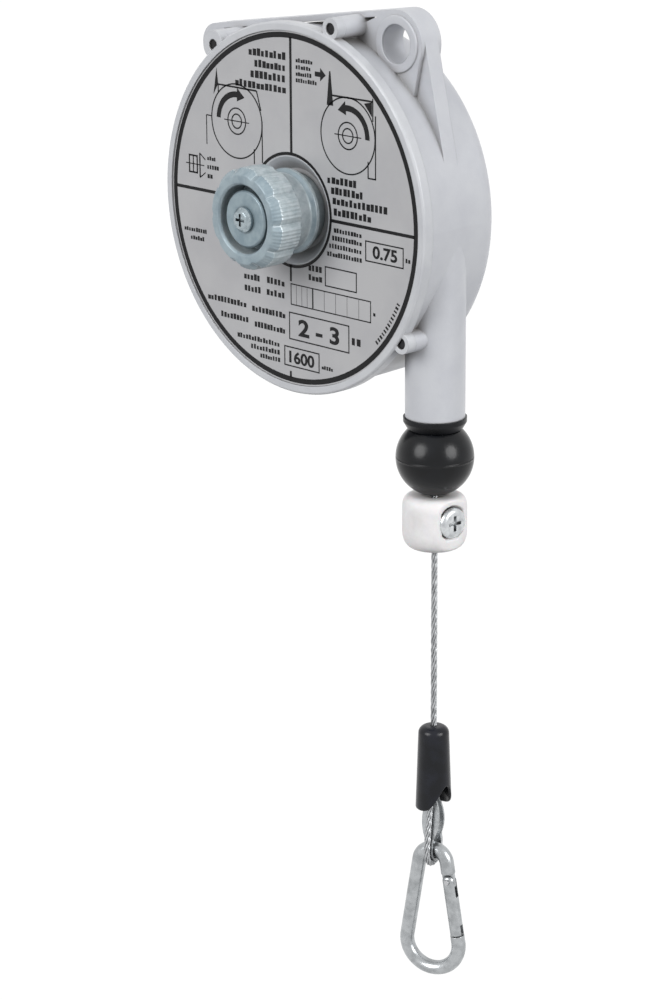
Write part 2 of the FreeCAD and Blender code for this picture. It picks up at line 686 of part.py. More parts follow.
bush_rear = S.journal_rear + S.run_gap + S.bush_wall
bearing_radius = bush_rear + S.bearing_wall
cover_behind = S.drum_half + S.spring_cover
bush_proud = cover_behind + S.washer_thick
bearing_behind = bush_proud + S.washer_thick + 2 * S.face_gap
floor_behind = S.back_behind - S.floor_thick
cavity_sketch = sketch_on(housing, "XY_Plane")
trace(cavity_sketch, [
    (0, -S.joint_ahead),
    (S.cavity_radius, -S.joint_ahead),
    (S.cavity_radius, floor_behind - S.cavity_chamfer),
    (S.cavity_radius - S.cavity_chamfer, floor_behind),
    (bearing_radius, floor_behind),
    (bearing_radius, bearing_behind),
    (0, bearing_behind),
])
groove(housing, cavity_sketch)
bush_sketch = sketch_on(housing, "XZ_Plane", -bearing_behind)
circle(bush_sketch, 0, 0, bush_rear)
pocket(housing, bush_sketch, S.back_behind - bearing_behind - S.floor_thick / 2)
bore_sketch = sketch_on(housing, "XY_Plane")
circle(bore_sketch, outlet_offset, 0, S.tube_bore)
pocket(housing, bore_sketch, S.tube_drop)
eye_sketch = sketch_on(housing, "XZ_Plane", S.ear_half)
circle(eye_sketch, ear_x, ear_z, S.eye_radius)
pocket(housing, eye_sketch, 2 * S.ear_half)
pilot_sketch = sketch_on(housing, "XZ_Plane", S.joint_ahead)
for lug_x, lug_z, _ in lugs:
    circle(pilot_sketch, lug_x, lug_z, S.screw_radius + S.screw_gap)
pocket(housing, pilot_sketch, S.screw_bite + S.pilot_extra)

# ---------------------------------------------------------------- cover_screws
# Three cap screws through the lugs into the bosses.
head_ahead = S.face_ahead - S.screw_sink
cover_screws = []
for lug_x, lug_z, _ in lugs:
    screw_x = drum_x + lug_x
    screw_z = drum_z + lug_z
    shank_length = head_ahead - S.joint_ahead + S.screw_bite
    cover_screws.append(fuse([
        rod(S.screw_head, S.screw_head_height, screw_x, -head_ahead - S.screw_head_height, screw_z),
        rod(S.screw_radius, shank_length + S.screw_head_height / 2,
            screw_x, -head_ahead - S.screw_head_height / 2, screw_z),
    ]))
group("cover_screws", cover_screws)

# ---------------------------------------------------------------- ratchet_ring
# Cup-shaped ring in the lid's collar. Its teeth face the knob and hold the tension that is set.
ratchet_ring = drum_body("ratchet_ring")
floor_ahead = ratchet_ahead - S.ratchet_depth
ring_teeth_ahead = floor_ahead + S.ratchet_floor
shaft_pass = S.journal_front + S.run_gap + S.face_gap
turned(ratchet_ring, [
    (neck_hole + S.tooth_gap, -ratchet_ahead),
    (S.ratchet_radius, -ratchet_ahead),
    (S.ratchet_radius, -floor_ahead),
    (shaft_pass, -floor_ahead),
    (shaft_pass, -ring_teeth_ahead),
    (neck_hole + S.tooth_gap, -ring_teeth_ahead),
])


def hexagon(sketch, corner):
    """Hexagon round the drum axis with two corners on the sketch's horizontal axis."""
    high, across = corner * sin(60), corner / 2
    trace(sketch, [(corner, 0), (across, high), (-across, high), (-corner, 0),
                   (-across, -high), (across, -high)])


def teeth(body, base_ahead, tip_ahead, middle, side):
    """Saw teeth on a flat face round the drum axis; middle is where the first one stands."""
    sketch = sketch_on(body, "YZ_Plane", S.tooth_inner)
    trace(sketch, [
        (-base_ahead, middle - side * S.tooth_width / 2),
        (-base_ahead, middle + side * S.tooth_width / 2),
        (-tip_ahead, middle - side * S.tooth_width / 2),
    ])
    around(body, pad(body, sketch, S.tooth_length), S.ratchet_teeth)


teeth(ratchet_ring, ring_teeth_ahead, ring_teeth_ahead + S.tooth_height, -S.tooth_shift, 1)

# ---------------------------------------------------------------- tension_knob
# Zinc knob: head with flutes and an open front, long neck that passes through the lid, a hexagon
# that slides on the shaft, and teeth on its inner end.
knob = drum_body("tension_knob")
neck_end = ring_teeth_ahead + S.tooth_height + S.tooth_gap
head_back = S.knob_ahead - S.knob_height
window_floor = S.knob_ahead - S.knob_window_depth
seat_floor = S.knob_ahead - S.spring_seat
turned(knob, [
    (0, -neck_end),
    (S.neck_radius, -neck_end),
    (S.neck_radius, -head_back),
    (S.knob_radius - S.knob_chamfer, -head_back),
    (S.knob_radius, -head_back - S.knob_chamfer),
    (S.knob_radius, S.knob_chamfer - S.knob_ahead),
    (S.knob_radius - S.knob_chamfer, -S.knob_ahead),
    (S.knob_window + S.knob_chamfer / 2, -S.knob_ahead),
    (S.knob_window, S.knob_chamfer / 2 - S.knob_ahead),
    (S.knob_window, -window_floor),
    (S.spring_bore, -window_floor),
    (S.spring_bore, -seat_floor),
    (0, -seat_floor),
])
teeth(knob, neck_end, neck_end - S.tooth_height, S.tooth_shift, -1)
flute_sketch = sketch_on(knob, "XZ_Plane", S.knob_ahead)
circle(flute_sketch, S.knob_radius + S.flute_radius - S.flute_depth, 0, S.flute_radius)
around(knob, pocket(knob, flute_sketch, S.knob_height), S.flute_count)
hex_sketch = sketch_on(knob, "XZ_Plane", seat_floor)
hex_corner = (S.shaft_hex / 2 + S.hex_gap) / cos(30)
hexagon(hex_sketch, hex_corner)
pocket(knob, hex_sketch, seat_floor - neck_end)

# ---------------------------------------------------------------- arbor_shaft
# Stepped shaft: rear journal, barrel for the spring's inner end, front journal, hexagon for the
# knob, and a round front end with the thread of the knob screw.
shaft = drum_body("arbor_shaft")
web_ahead = floor_ahead - S.washer_thick - 2 * S.face_gap
barrel_ahead = web_ahead - S.web_thick - S.barrel_gap
barrel_behind = S.drum_half - S.strip_side_gap
disc_back = S.knob_ahead - S.disc_sunk - S.disc_thick
shaft_end = S.back_behind - S.floor_thick
turned(shaft, [
    (0, -web_ahead - S.washer_thick),
    (S.journal_front, -web_ahead - S.washer_thick),
    (S.journal_front, -barrel_ahead),
    (S.barrel_radius, -barrel_ahead),
    (S.barrel_radius, barrel_behind),
    (S.journal_rear, barrel_behind),
    (S.journal_rear, shaft_end),
    (0, shaft_end),
])
hex_front = seat_floor + S.hex_reach
shaft_hex_sketch = sketch_on(shaft, "XZ_Plane", web_ahead)
shaft_corner = S.shaft_hex / 2 / cos(30)
hexagon(shaft_hex_sketch, shaft_corner)
pad(shaft, shaft_hex_sketch, hex_front - web_ahead)
front_sketch = sketch_on(shaft, "XZ_Plane", web_ahead)
circle(front_sketch, 0, 0, S.shaft_front_radius)
pad(shaft, front_sketch, disc_back - web_ahead)
thread_sketch = sketch_on(shaft, "XZ_Plane", disc_back)
circle(thread_sketch, 0, 0, S.knob_screw_radius + S.screw_gap)
pocket(shaft, thread_sketch, S.knob_screw_length)

# ---------------------------------------------------------------- knob_retainer and knob_screw
# Disc on the end of the shaft that holds the knob's spring, and the round-headed screw in it.
retainer = drum_body("knob_retainer")
disc_front = disc_back + S.disc_thick
turned(retainer, [
    (S.knob_screw_radius + S.screw_gap, -disc_back),
    (S.disc_radius, -disc_back),
    (S.disc_radius, -disc_front + S.knob_chamfer / 2),
    (S.disc_radius - S.knob_chamfer / 2, -disc_front),
    (S.knob_screw_radius + S.screw_gap, -disc_front),
])
knob_screw = drum_body("knob_screw")
screw_tip = disc_front - S.knob_screw_length
dome = S.knob_screw_height / 2
turned(knob_screw, [
    (0, -screw_tip),
    (S.knob_screw_radius, -screw_tip),
    (S.knob_screw_radius, -disc_front),
    (S.knob_screw_head, -disc_front),
    (S.knob_screw_head, -disc_front - dome),
    (S.knob_screw_head - dome, -disc_front - 2 * dome),
    (0, -disc_front - 2 * dome),
])
slot_sketch = sketch_on(knob_screw, "XZ_Plane", disc_front + S.knob_screw_height)
cross_recess(slot_sketch, S.knob_screw_head, 0)
pocket(knob_screw, slot_sketch, dome)

# ---------------------------------------------------------------- knob_spring
# Compression spring between the disc and the seat inside the knob: a six-sided wire along straight
# steps, twelve to a turn.
coil_length = disc_back - seat_floor - 2 * S.coil_wire - S.seat_gap
coil_steps = 12
coil_points = []
for step in range(int(number(S.coil_turns)) * coil_steps + 1):
    turn = math.radians(step * 360 / coil_steps)
    height = number(coil_length) * step / (number(S.coil_turns) * coil_steps)
    coil_points.append(Vector(number(S.coil_radius) * math.cos(turn),
                              number(S.coil_radius) * math.sin(turn), height))
coil_path = Part.makePolygon(coil_points)
coil_way = coil_points[1] - coil_points[0]
coil_ring = Part.makePolygon([
    coil_points[0] + Rotation(Vector(0, 0, 1), coil_way).multVec(
        Vector(number(S.coil_wire) * math.cos(math.radians(60 * side)),
               number(S.coil_wire) * math.sin(math.radians(60 * side)), 0))
    for side in (0, 1, 2, 3, 4, 5, 0)])
knob_spring = doc.addObject("Part::Feature", "knob_spring")
knob_spring.Shape = coil_path.makePipeShell([coil_ring], True, False, 1)
knob_spring.Label = "knob_spring"
knob_spring.Placement = Placement(
    Vector(number(drum_x), -number(seat_floor + S.coil_wire + S.seat_gap / 2), number(drum_z)),
    Rotation(Vector(1, 0, 0), 90))
nodes["knob_spring"] = knob_spring

# ---------------------------------------------------------------- cable_drum
# Deep drum: a rim that the rope winds on, between two flanges, a web near the front and a hub.
drum = drum_body("cable_drum")
bush_front = S.journal_front + S.run_gap + S.bush_wall
rim_inner = drum_root - S.drum_rim
web_back = web_ahead - S.web_thick
turned(drum, [
    (bush_front, -web_ahead),
    (rim_inner, -web_ahead),
    (rim_inner, -S.drum_half),
    (drum_flange, -S.drum_half),
    (drum_flange, S.flange_thick - S.drum_half),
    (drum_root, S.flange_thick - S.drum_half),
    (drum_root, S.drum_half - S.flange_thick),
    (drum_flange, S.drum_half - S.flange_thick),
    (drum_flange, S.drum_half),
    (rim_inner, S.drum_half),
    (rim_inner, -web_back),
    (bush_front + S.hub_wall, -web_back),
    (bush_front + S.hub_wall, -barrel_ahead - S.face_gap),
    (bush_front, -barrel_ahead - S.face_gap),
])
rim_middle = drum_root - S.drum_rim / 2
anchor_sketch = sketch_on(drum, "XZ_Plane", S.drum_half)
circle(anchor_sketch, 0, rim_middle, S.anchor_radius + S.screw_gap)
pocket(drum, anchor_sketch, S.anchor_length)
tap_sketch = sketch_on(drum, "XZ_Plane", -S.drum_half)
circle(tap_sketch, rim_middle, 0, S.cover_screw_radius + S.screw_gap)
around(drum, pocket(drum, tap_sketch, S.cover_screw_length - S.spring_cover + S.washer_thick,
                    reverse=True), S.cover_screw_count)

# ---------------------------------------------------------------- drum_cover and its screws
# Disc that closes the spring chamber, with a hub for the rear bush.
drum_cover = drum_body("drum_cover")
turned(drum_cover, [
    (bush_rear, S.drum_half),
    (drum_root, S.drum_half),
    (drum_root, cover_behind),
    (bush_rear + S.hub_wall, cover_behind),
    (bush_rear + S.hub_wall, bush_proud),
    (bush_rear, bush_proud),
])
clear_sketch = sketch_on(drum_cover, "XZ_Plane", -S.drum_half)
circle(clear_sketch, rim_middle, 0, S.cover_screw_radius + S.screw_gap)
around(drum_cover, pocket(drum_cover, clear_sketch, S.spring_cover), S.cover_screw_count)
cover_screw_set = []
for index in range(int(number(S.cover_screw_count))):
    step = index * 360 / S.cover_screw_count if index else 0
    at_x, at_z = toward(step, rim_middle)
    cover_screw_set.append(fuse([
        rod(S.cover_screw_head, S.washer_thick, drum_x + at_x, cover_behind,
            drum_z + at_z),
        rod(S.cover_screw_radius, S.cover_screw_length, drum_x + at_x,
            cover_behind + S.washer_thick / 2 - S.cover_screw_length, drum_z + at_z),
    ]))
group("drum_cover_screws", cover_screw_set)

# ---------------------------------------------------------------- bushes and washers
# Plain bronze bushes and steel thrust washers on the shaft.
rings = [
    ("front_drum_bush", S.journal_front + S.run_gap, bush_front,
     -web_ahead, -barrel_ahead - S.face_gap),
    ("rear_drum_bush", S.journal_rear + S.run_gap, bush_rear, S.drum_half, bush_proud),
    ("arbor_bush", S.journal_rear + S.run_gap, bush_rear, bearing_behind, shaft_end),
    ("front_washer", S.journal_front + S.run_gap, S.washer_radius,
     -web_ahead - S.face_gap - S.washer_thick, -web_ahead - S.face_gap),
    ("rear_washer", S.journal_rear + S.run_gap, S.washer_radius,
     bush_proud + S.face_gap, bush_proud + S.face_gap + S.washer_thick),
]
for label, inner, outer, front, back in rings:
    turned(drum_body(label), [(inner, front), (outer, front), (outer, back), (inner, back)])

# ---------------------------------------------------------------- power_spring
# Flat spiral spring: close turns against the drum, then one wide turn down to the shaft. Each half
# turn is an arc, and the arcs' centres alternate so that the strip stays smooth.
strip_half = number(S.strip_thick) / 2
first_radius = number(rim_inner - S.strip_gap) - strip_half
last_radius = number(S.barrel_radius + S.run_gap) + strip_half
close_turns = int(number(S.strip_turns))
drops = [number(S.strip_pitch) / 2] * (2 * close_turns)
wide_radius = first_radius - sum(drops)
eye_radius = last_radius + number(S.strip_thick + S.strip_eye_gap)
drops += [(wide_radius - eye_radius) / 2] * 2 + [(eye_radius - last_radius) / 2] * 2
outer_edge, inner_edge = [], []
radius, centre, way = first_radius, 0.0, 1
for drop in drops + [0]:
    for edges, offset in ((outer_edge, strip_half), (inner_edge, -strip_half)):
        reach = radius + offset
        middle = Vector(centre, 0, reach * (1 if way > 0 else -1))
        edges.append(Part.Arc(Vector(centre + way * reach, 0, 0), middle,
                              Vector(centre - way * reach, 0, 0)).toShape())
    radius -= drop
    centre -= way * drop
    way = -way
caps = [Part.makeLine(outer_edge[0].firstVertex().Point, inner_edge[0].firstVertex().Point),
        Part.makeLine(outer_edge[-1].lastVertex().Point, inner_edge[-1].lastVertex().Point)]
strip_front = number(S.strip_side_gap) - number(barrel_ahead)
strip_back = number(S.drum_half - S.strip_side_gap)
strip_wire = Part.Wire(Part.__sortEdges__(outer_edge + inner_edge + caps))
strip = Part.Face(strip_wire).extrude(Vector(0, strip_back - strip_front, 0))
power_spring = doc.addObject("Part::Feature", "power_spring")
power_spring.Shape = strip
power_spring.Label = "power_spring"
power_spring.Placement = Placement(
    Vector(number(drum_x), strip_front, number(drum_z)), Rotation())
nodes["power_spring"] = power_spring

# ---------------------------------------------------------------- rope on the drum
# The rope's turns on the drum as one ring, and the crimp that anchors its end.
wound = drum_body("wound_cable")
wound_half = S.drum_half - S.flange_thick - S.face_gap
wound_outer = outlet_offset + S.rope_radius
turned(wound, [
    (drum_root, -wound_half),
    (wound_outer - S.rope_radius / 2, -wound_half),
    (wound_outer, S.rope_radius / 2 - wound_half),
    (wound_outer, wound_half - S.rope_radius / 2),
    (wound_outer - S.rope_radius / 2, wound_half),
    (drum_root, wound_half),
])
drum_ferrule = drum_body("drum_ferrule")
ferrule_sketch = sketch_on(drum_ferrule, "XZ_Plane", S.drum_half - S.anchor_length)
circle(ferrule_sketch, 0, rim_middle, S.anchor_radius)
pad(drum_ferrule, ferrule_sketch, S.anchor_length)

# ---------------------------------------------------------------- places along the rope
# All of them are counted down from the drum axis. The clamp's seat is a cone that clears the ball.
guide_bottom = S.tube_drop + S.guide_height
ball_top = guide_bottom + S.seat_gap
ball_drop = ball_top + S.ball_cap
clamp_top = ball_drop + S.clamp_cup
clamp_bottom = clamp_top + S.clamp_height
clamp_screw_drop = clamp_top + S.clamp_screw_down
cup_radius = S.ball_radius + S.seat_gap
clamp_bore = S.rope_radius + S.screw_gap
cup_edge = (cup_radius - S.clamp_cup * cos(S.cup_angle)) / sin(S.cup_angle)
cup_low = (cup_radius - clamp_bore * sin(S.cup_angle)) / cos(S.cup_angle)
sleeve_top = clamp_bottom + S.rope_shown
sleeve_bottom = sleeve_top + S.sleeve_length
crimp_top = sleeve_top + S.crimp_down
thimble_top = sleeve_bottom - S.thimble_up
hook_top = sleeve_bottom + S.hook_down
outlet_x = drum_x + outlet_offset

# ---------------------------------------------------------------- outlet_guide
# Black collar with a spigot in the tube and a flared mouth for the rope.
guide = rope_body("outlet_guide")
rope_hole = S.rope_radius + S.rope_gap
turned(guide, [
    (rope_hole, S.guide_spigot - S.tube_drop),
    (S.tube_bore - S.screw_gap, S.guide_spigot - S.tube_drop),
    (S.tube_bore - S.screw_gap, -S.tube_drop),
    (S.guide_radius, -S.tube_drop),
    (S.guide_radius, -S.tube_drop - S.guide_band),
    (S.guide_foot, -guide_bottom),
    (rope_hole + S.guide_mouth, -guide_bottom),
    (rope_hole, S.guide_mouth - guide_bottom),
], plane="XZ_Plane")

# ---------------------------------------------------------------- bumper_ball
# Rubber ball, flat on top where it meets the guide, with a hole for the rope.
ball = rope_body("bumper_ball")
ball_flat = other_side(S.ball_radius, ball_drop - ball_top)
ball_low = other_side(S.ball_radius, rope_hole)
turned(ball, [
    (rope_hole, -ball_top),
    (ball_flat, -ball_top),
    (S.ball_radius, -ball_drop, S.ball_radius, (0, -ball_drop)),
    (rope_hole, -ball_drop - ball_low, S.ball_radius, (0, -ball_drop)),
], plane="XZ_Plane")

# ---------------------------------------------------------------- stop_clamp and its screw
# White block with a cup for the ball, a rounded foot and a flat with a recess for the screw.
clamp = rope_body("stop_clamp", S.clamp_turn)
clamp_straight = clamp_bottom - S.clamp_round
turned(clamp, [
    (clamp_bore, -ball_drop - cup_low),
    (cup_edge, -clamp_top),
    (S.clamp_radius - S.clamp_shoulder / 2, -clamp_top),
    (S.clamp_radius, -clamp_top - S.clamp_shoulder),
    (S.clamp_radius, -clamp_straight),
    (S.clamp_radius - S.clamp_round, -clamp_bottom, S.clamp_round,
     (S.clamp_radius - S.clamp_round, -clamp_straight)),
    (clamp_bore, -clamp_bottom),
], plane="XZ_Plane")
flat_sketch = sketch_on(clamp, "YZ_Plane", S.clamp_radius)
trace(flat_sketch, [
    (-S.clamp_radius, -clamp_bottom),
    (S.clamp_radius, -clamp_bottom),
    (S.clamp_radius, -clamp_top),
    (-S.clamp_radius, -clamp_top),
])
pocket(clamp, flat_sketch, S.clamp_radius - S.clamp_flat)
head_seat = S.clamp_flat - S.clamp_recess
recess_sketch = sketch_on(clamp, "YZ_Plane", S.clamp_flat)
circle(recess_sketch, 0, -clamp_screw_drop, S.clamp_head + S.seat_gap)
pocket(clamp, recess_sketch, S.clamp_recess)
insert_sketch = sketch_on(clamp, "YZ_Plane", head_seat)
circle(insert_sketch, 0, -clamp_screw_drop, S.insert_radius)
pocket(clamp, insert_sketch, S.insert_length)
shank_sketch = sketch_on(clamp, "YZ_Plane", head_seat)
circle(shank_sketch, 0, -clamp_screw_drop, S.clamp_shank + S.screw_gap)
pocket(clamp, shank_sketch, head_seat)

clamp_insert = rope_body("clamp_insert", S.clamp_turn)
insert_ring = sketch_on(clamp_insert, "YZ_Plane", head_seat - S.insert_length)
circle(insert_ring, 0, -clamp_screw_drop, S.insert_radius)
circle(insert_ring, 0, -clamp_screw_drop, S.clamp_shank + S.screw_gap)
pad(clamp_insert, insert_ring, S.insert_length)

clamp_screw = rope_body("clamp_screw", S.clamp_turn)
shank_end = S.rope_radius + S.screw_gap
shank_ring = sketch_on(clamp_screw, "YZ_Plane", shank_end)
circle(shank_ring, 0, -clamp_screw_drop, S.clamp_shank)
pad(clamp_screw, shank_ring, head_seat - shank_end)
head_ring = sketch_on(clamp_screw, "YZ_Plane", head_seat)
circle(head_ring, 0, -clamp_screw_drop, S.clamp_head)
head_pad = pad(clamp_screw, head_ring, S.clamp_head_height)
doc.recompute()
front_x = number(head_seat + S.clamp_head_height)
head_edges = [f"Edge{i + 1}" for i, edge in enumerate(head_pad.Shape.Edges)
              if abs(edge.BoundBox.XMin - front_x) < 1e-4 and abs(edge.BoundBox.XMax - front_x) < 1e-4]
head_round = clamp_screw.newObject("PartDesign::Fillet", "Fillet")
head_round.Base = (head_pad, head_edges)
head_round.setExpression("Radius", words(S.clamp_head_round))
cross_sketch = sketch_on(clamp_screw, "YZ_Plane", head_seat + S.clamp_head_height)
cross_recess(cross_sketch, S.clamp_head, -clamp_screw_drop)
pocket(clamp_screw, cross_sketch, S.clamp_head_height / 2)

# ---------------------------------------------------------------- cable_run and cable
# The rope between drum and clamp, which grows as the rope is pulled out, and the rope below it.
run_top = other_side(wound_outer, outlet_offset - S.rope_radius) + S.rope_gap
cable_top = ball_drop + cup_low + S.face_gap
run_length = cable_top - run_top - S.face_gap
cable_run = rod(S.rope_radius, run_length, outlet_x, 0, drum_z - run_top - run_length, along="z")
cable_run.Label = "cable_run"
nodes["cable_run"] = cable_run
cable_length = crimp_top - cable_top
cable = rod(S.rope_radius, cable_length, outlet_x, 0, drum_z - crimp_top, along="z")
cable.Label = "cable"
nodes["cable"] = cable

# ---------------------------------------------------------------- ferrule_sleeve and crimp
# Black sleeve over the crimp: round top, widening to a slanted mouth that covers the eye's start.
sleeve = rope_body("ferrule_sleeve", S.sleeve_turn)
mouth_inner = S.sleeve_radius_bottom - S.sleeve_wall
turned(sleeve, [
    (clamp_bore, -sleeve_top),
    (S.sleeve_radius_top - S.sleeve_round, -sleeve_top),
    (S.sleeve_radius_top, -sleeve_top - S.sleeve_round, S.sleeve_round,
     (S.sleeve_radius_top - S.sleeve_round, -sleeve_top - S.sleeve_round)),
    (S.sleeve_radius_bottom, -sleeve_bottom - S.mouth_slant),
    (mouth_inner, -sleeve_bottom - S.mouth_slant),
    (mouth_inner - S.sleeve_taper, -crimp_top - S.crimp_length),
    (S.crimp_radius + S.screw_gap, -crimp_top - S.crimp_length),
    (S.crimp_radius + S.screw_gap, -crimp_top),
    (clamp_bore, -crimp_top),
], plane="XZ_Plane")
slant_reach = S.sleeve_radius_bottom + S.sleeve_wall
slant_sketch = sketch_on(sleeve, "XZ_Plane", -slant_reach)
trace(slant_sketch, [
    (-slant_reach, -sleeve_bottom - S.mouth_slant),
    (slant_reach, -sleeve_bottom + S.mouth_slant),
    (slant_reach, -sleeve_bottom - 2 * S.mouth_slant),
    (-slant_reach, -sleeve_bottom - 2 * S.mouth_slant),
])
pocket(sleeve, slant_sketch, 2 * slant_reach, reverse=True)
crimp = rope_body("cable_ferrule", S.hook_turn)
turned(crimp, [
    (0, -crimp_top - S.crimp_length),
    (S.crimp_radius - S.crimp_chamfer, -crimp_top - S.crimp_length),
    (S.crimp_radius, S.crimp_chamfer - crimp_top - S.crimp_length),
    (S.crimp_radius, -S.crimp_chamfer - crimp_top),
    (S.crimp_radius - S.crimp_chamfer, -crimp_top),
    (0, -crimp_top),
], plane="XZ_Plane")

# ---------------------------------------------------------------- cable_eye and thimble
# The rope's eye is a drop-shaped loop square to the hook: two legs from the crimp, tangent to the
# bend that carries the hook. The thimble is a sheet strip that lines the loop.
bar_drop = number(hook_top + S.hook_wire)
bend_low = bar_drop + number(S.hook_wire + S.hook_rest_gap)
bend_z = -(bend_low - number(S.thimble_inner))
rope_bend = number(S.thimble_inner + S.thimble_thick + S.screw_gap + S.rope_radius)
eye_top = -number(crimp_top + S.crimp_length + S.seat_gap)
eye_reach = math.hypot(number(S.leg_half), eye_top - bend_z)
eye_touch = math.atan2(number(S.leg_half), eye_top - bend_z) + math.acos(rope_bend / eye_reach)


def drop_loop(bend, top_z):
    """Edges of a drop shape in the YZ plane, parallel to the rope's eye: leg, bend, leg."""
    side_y = bend * math.sin(eye_touch)
    side_z = bend_z + bend * math.cos(eye_touch)
    top_half = side_y - (top_z - side_z) / math.tan(eye_touch)
    start, end = Vector(0, top_half, top_z), Vector(0, -top_half, top_z)
    right, left = Vector(0, side_y, side_z), Vector(0, -side_y, side_z)
    bottom = Vector(0, 0, bend_z - bend)
    return [Part.makeLine(start, right), Part.Arc(right, bottom, left).toShape(),
            Part.makeLine(left, end)]


eye_path = Part.Wire(drop_loop(rope_bend, eye_top))
leg_start = eye_path.Edges[0].firstVertex().Point
leg_way = eye_path.Edges[0].tangentAt(eye_path.Edges[0].FirstParameter)
eye_ring = Part.Wire(Part.makeCircle(number(S.rope_radius), leg_start, leg_way))
cable_eye = doc.addObject("Part::Feature", "cable_eye")
cable_eye.Shape = eye_path.makePipeShell([eye_ring], True, False)
cable_eye.Label = "cable_eye"
nodes["cable_eye"] = cable_eye

thimble_bend = number(S.thimble_inner)
outer_edges = drop_loop(thimble_bend + number(S.thimble_thick), -number(thimble_top))
inner_edges = drop_loop(thimble_bend, -number(thimble_top))
joins = [Part.makeLine(outer_edges[0].firstVertex().Point, inner_edges[0].firstVertex().Point),
         Part.makeLine(outer_edges[-1].lastVertex().Point, inner_edges[-1].lastVertex().Point)]
strip_outline = Part.Wire(Part.__sortEdges__(outer_edges + inner_edges + joins))
half_flare = number(S.thimble_flare)
thimble_solid = Part.Face(strip_outline).extrude(Vector(2 * half_flare, 0, 0))
thimble_solid.translate(Vector(-half_flare, 0, 0))
leaf_top = -number(thimble_top)
leaf_low = leaf_top - number(S.thimble_leaf)
leaf_end = bend_z - 2 * rope_bend
leaf_edges = []
for way in (1, -1):
    tip = Vector(way * number(S.thimble_tip), 0, leaf_top)
    widest = Vector(way * half_flare, 0, (leaf_top + leaf_low) / 2)
    waist = Vector(way * number(S.thimble_half), 0, leaf_low)
    foot = Vector(way * number(S.thimble_half), 0, leaf_end)
    leaf_edges += [Part.Arc(tip, widest, waist).toShape(), Part.makeLine(waist, foot)]
leaf_edges += [Part.makeLine(leaf_edges[0].firstVertex().Point, leaf_edges[2].firstVertex().Point),
               Part.makeLine(leaf_edges[1].lastVertex().Point, leaf_edges[3].lastVertex().Point)]
leaf_face = Part.Face(Part.Wire(Part.__sortEdges__(leaf_edges)))
leaf_face.translate(Vector(0, -2 * rope_bend, 0))
thimble_solid = thimble_solid.common(leaf_face.extrude(Vector(0, 4 * rope_bend, 0)))
thimble = doc.addObject("Part::Feature", "thimble")
thimble.Shape = thimble_solid.transformed(Placement().toMatrix(), True)
thimble.Label = "thimble"
nodes["thimble"] = thimble
for feature in (cable_eye, thimble):
    feature.Placement = Placement(
        Vector(number(outlet_x), 0, number(drum_z)),
        Rotation(Vector(0, 0, 1), number(S.hook_turn)))

# ---------------------------------------------------------------- snap hook
# Pear-shaped hook of bent wire in the plane of its own X and Z. Both ends of the wire are
# flattened: the gate is slotted over them, pivots on the upper one and closes on the lower one.
small_z = -number(hook_top + S.hook_wire + S.hook_small)
large_z = -number(hook_top + S.hook_length - S.hook_wire - S.hook_large)
small, large = number(S.hook_small), number(S.hook_large)
lean = math.asin((large - small) / (small_z - large_z))
side = Vector(math.cos(lean), 0, math.sin(lean))
down = Vector(math.sin(lean), 0, -math.cos(lean))
upper = Vector(0, 0, small_z) + side * small
lower = Vector(0, 0, large_z) + side * large
upper_left = Vector(-upper.x, 0, upper.z)
lower_left = Vector(-lower.x, 0, lower.z)


def on_gate(distance):
    """A point on the gate's axis, counted from the upper bend."""
    return upper + down * distance


wire_radius = number(S.hook_wire)
wire_stop = number(S.rivet_place - S.gate_radius - S.gate_gap)
hook_start = on_gate(wire_stop)
hook_end = on_gate(number(S.gate_end + S.gate_gap))
hook_edges = [
    Part.makeLine(hook_start, upper),
    Part.Arc(upper, Vector(0, 0, small_z + small), upper_left).toShape(),
    Part.makeLine(upper_left, lower_left),
    Part.Arc(lower_left, Vector(0, 0, large_z - large), lower).toShape(),
    Part.makeLine(lower, hook_end),
]
hook_ring = Part.Wire(Part.makeCircle(wire_radius, hook_start, down * -1))
hook_wire_solid = Part.Wire(hook_edges).makePipeShell([hook_ring], True, False)


def tongue(start, end, half_thick, half_width_):
    """Flat bar along the gate's axis between two places on it."""
    length = end - start
    bar = Part.makeBox(2 * half_width_, 2 * half_thick, length,
                       Vector(-half_width_, -half_thick, 0))
    lie = Placement(on_gate(end), Rotation(Vector(0, 0, 1), down * -1))
    return bar.transformed(lie.toMatrix(), True)


half_tongue = number(S.tongue_half)
upper_tongue = tongue(wire_stop - number(S.tongue_root), number(S.rivet_place + S.tongue_past),
                      half_tongue, number(S.tongue_width))
lower_tongue = tongue(number(S.gate_end - S.nose_reach),
                      number(S.gate_end + S.gate_gap + S.tongue_root), half_tongue,
                      number(S.nose_width))
gate_wide = 2 * number(S.gate_radius)
rivet_point = on_gate(number(S.rivet_place))


def cross_pin(radius, half_length):
    return Part.makeCylinder(radius, 2 * half_length, rivet_point + Vector(0, -half_length, 0),
                             Vector(0, 1, 0))


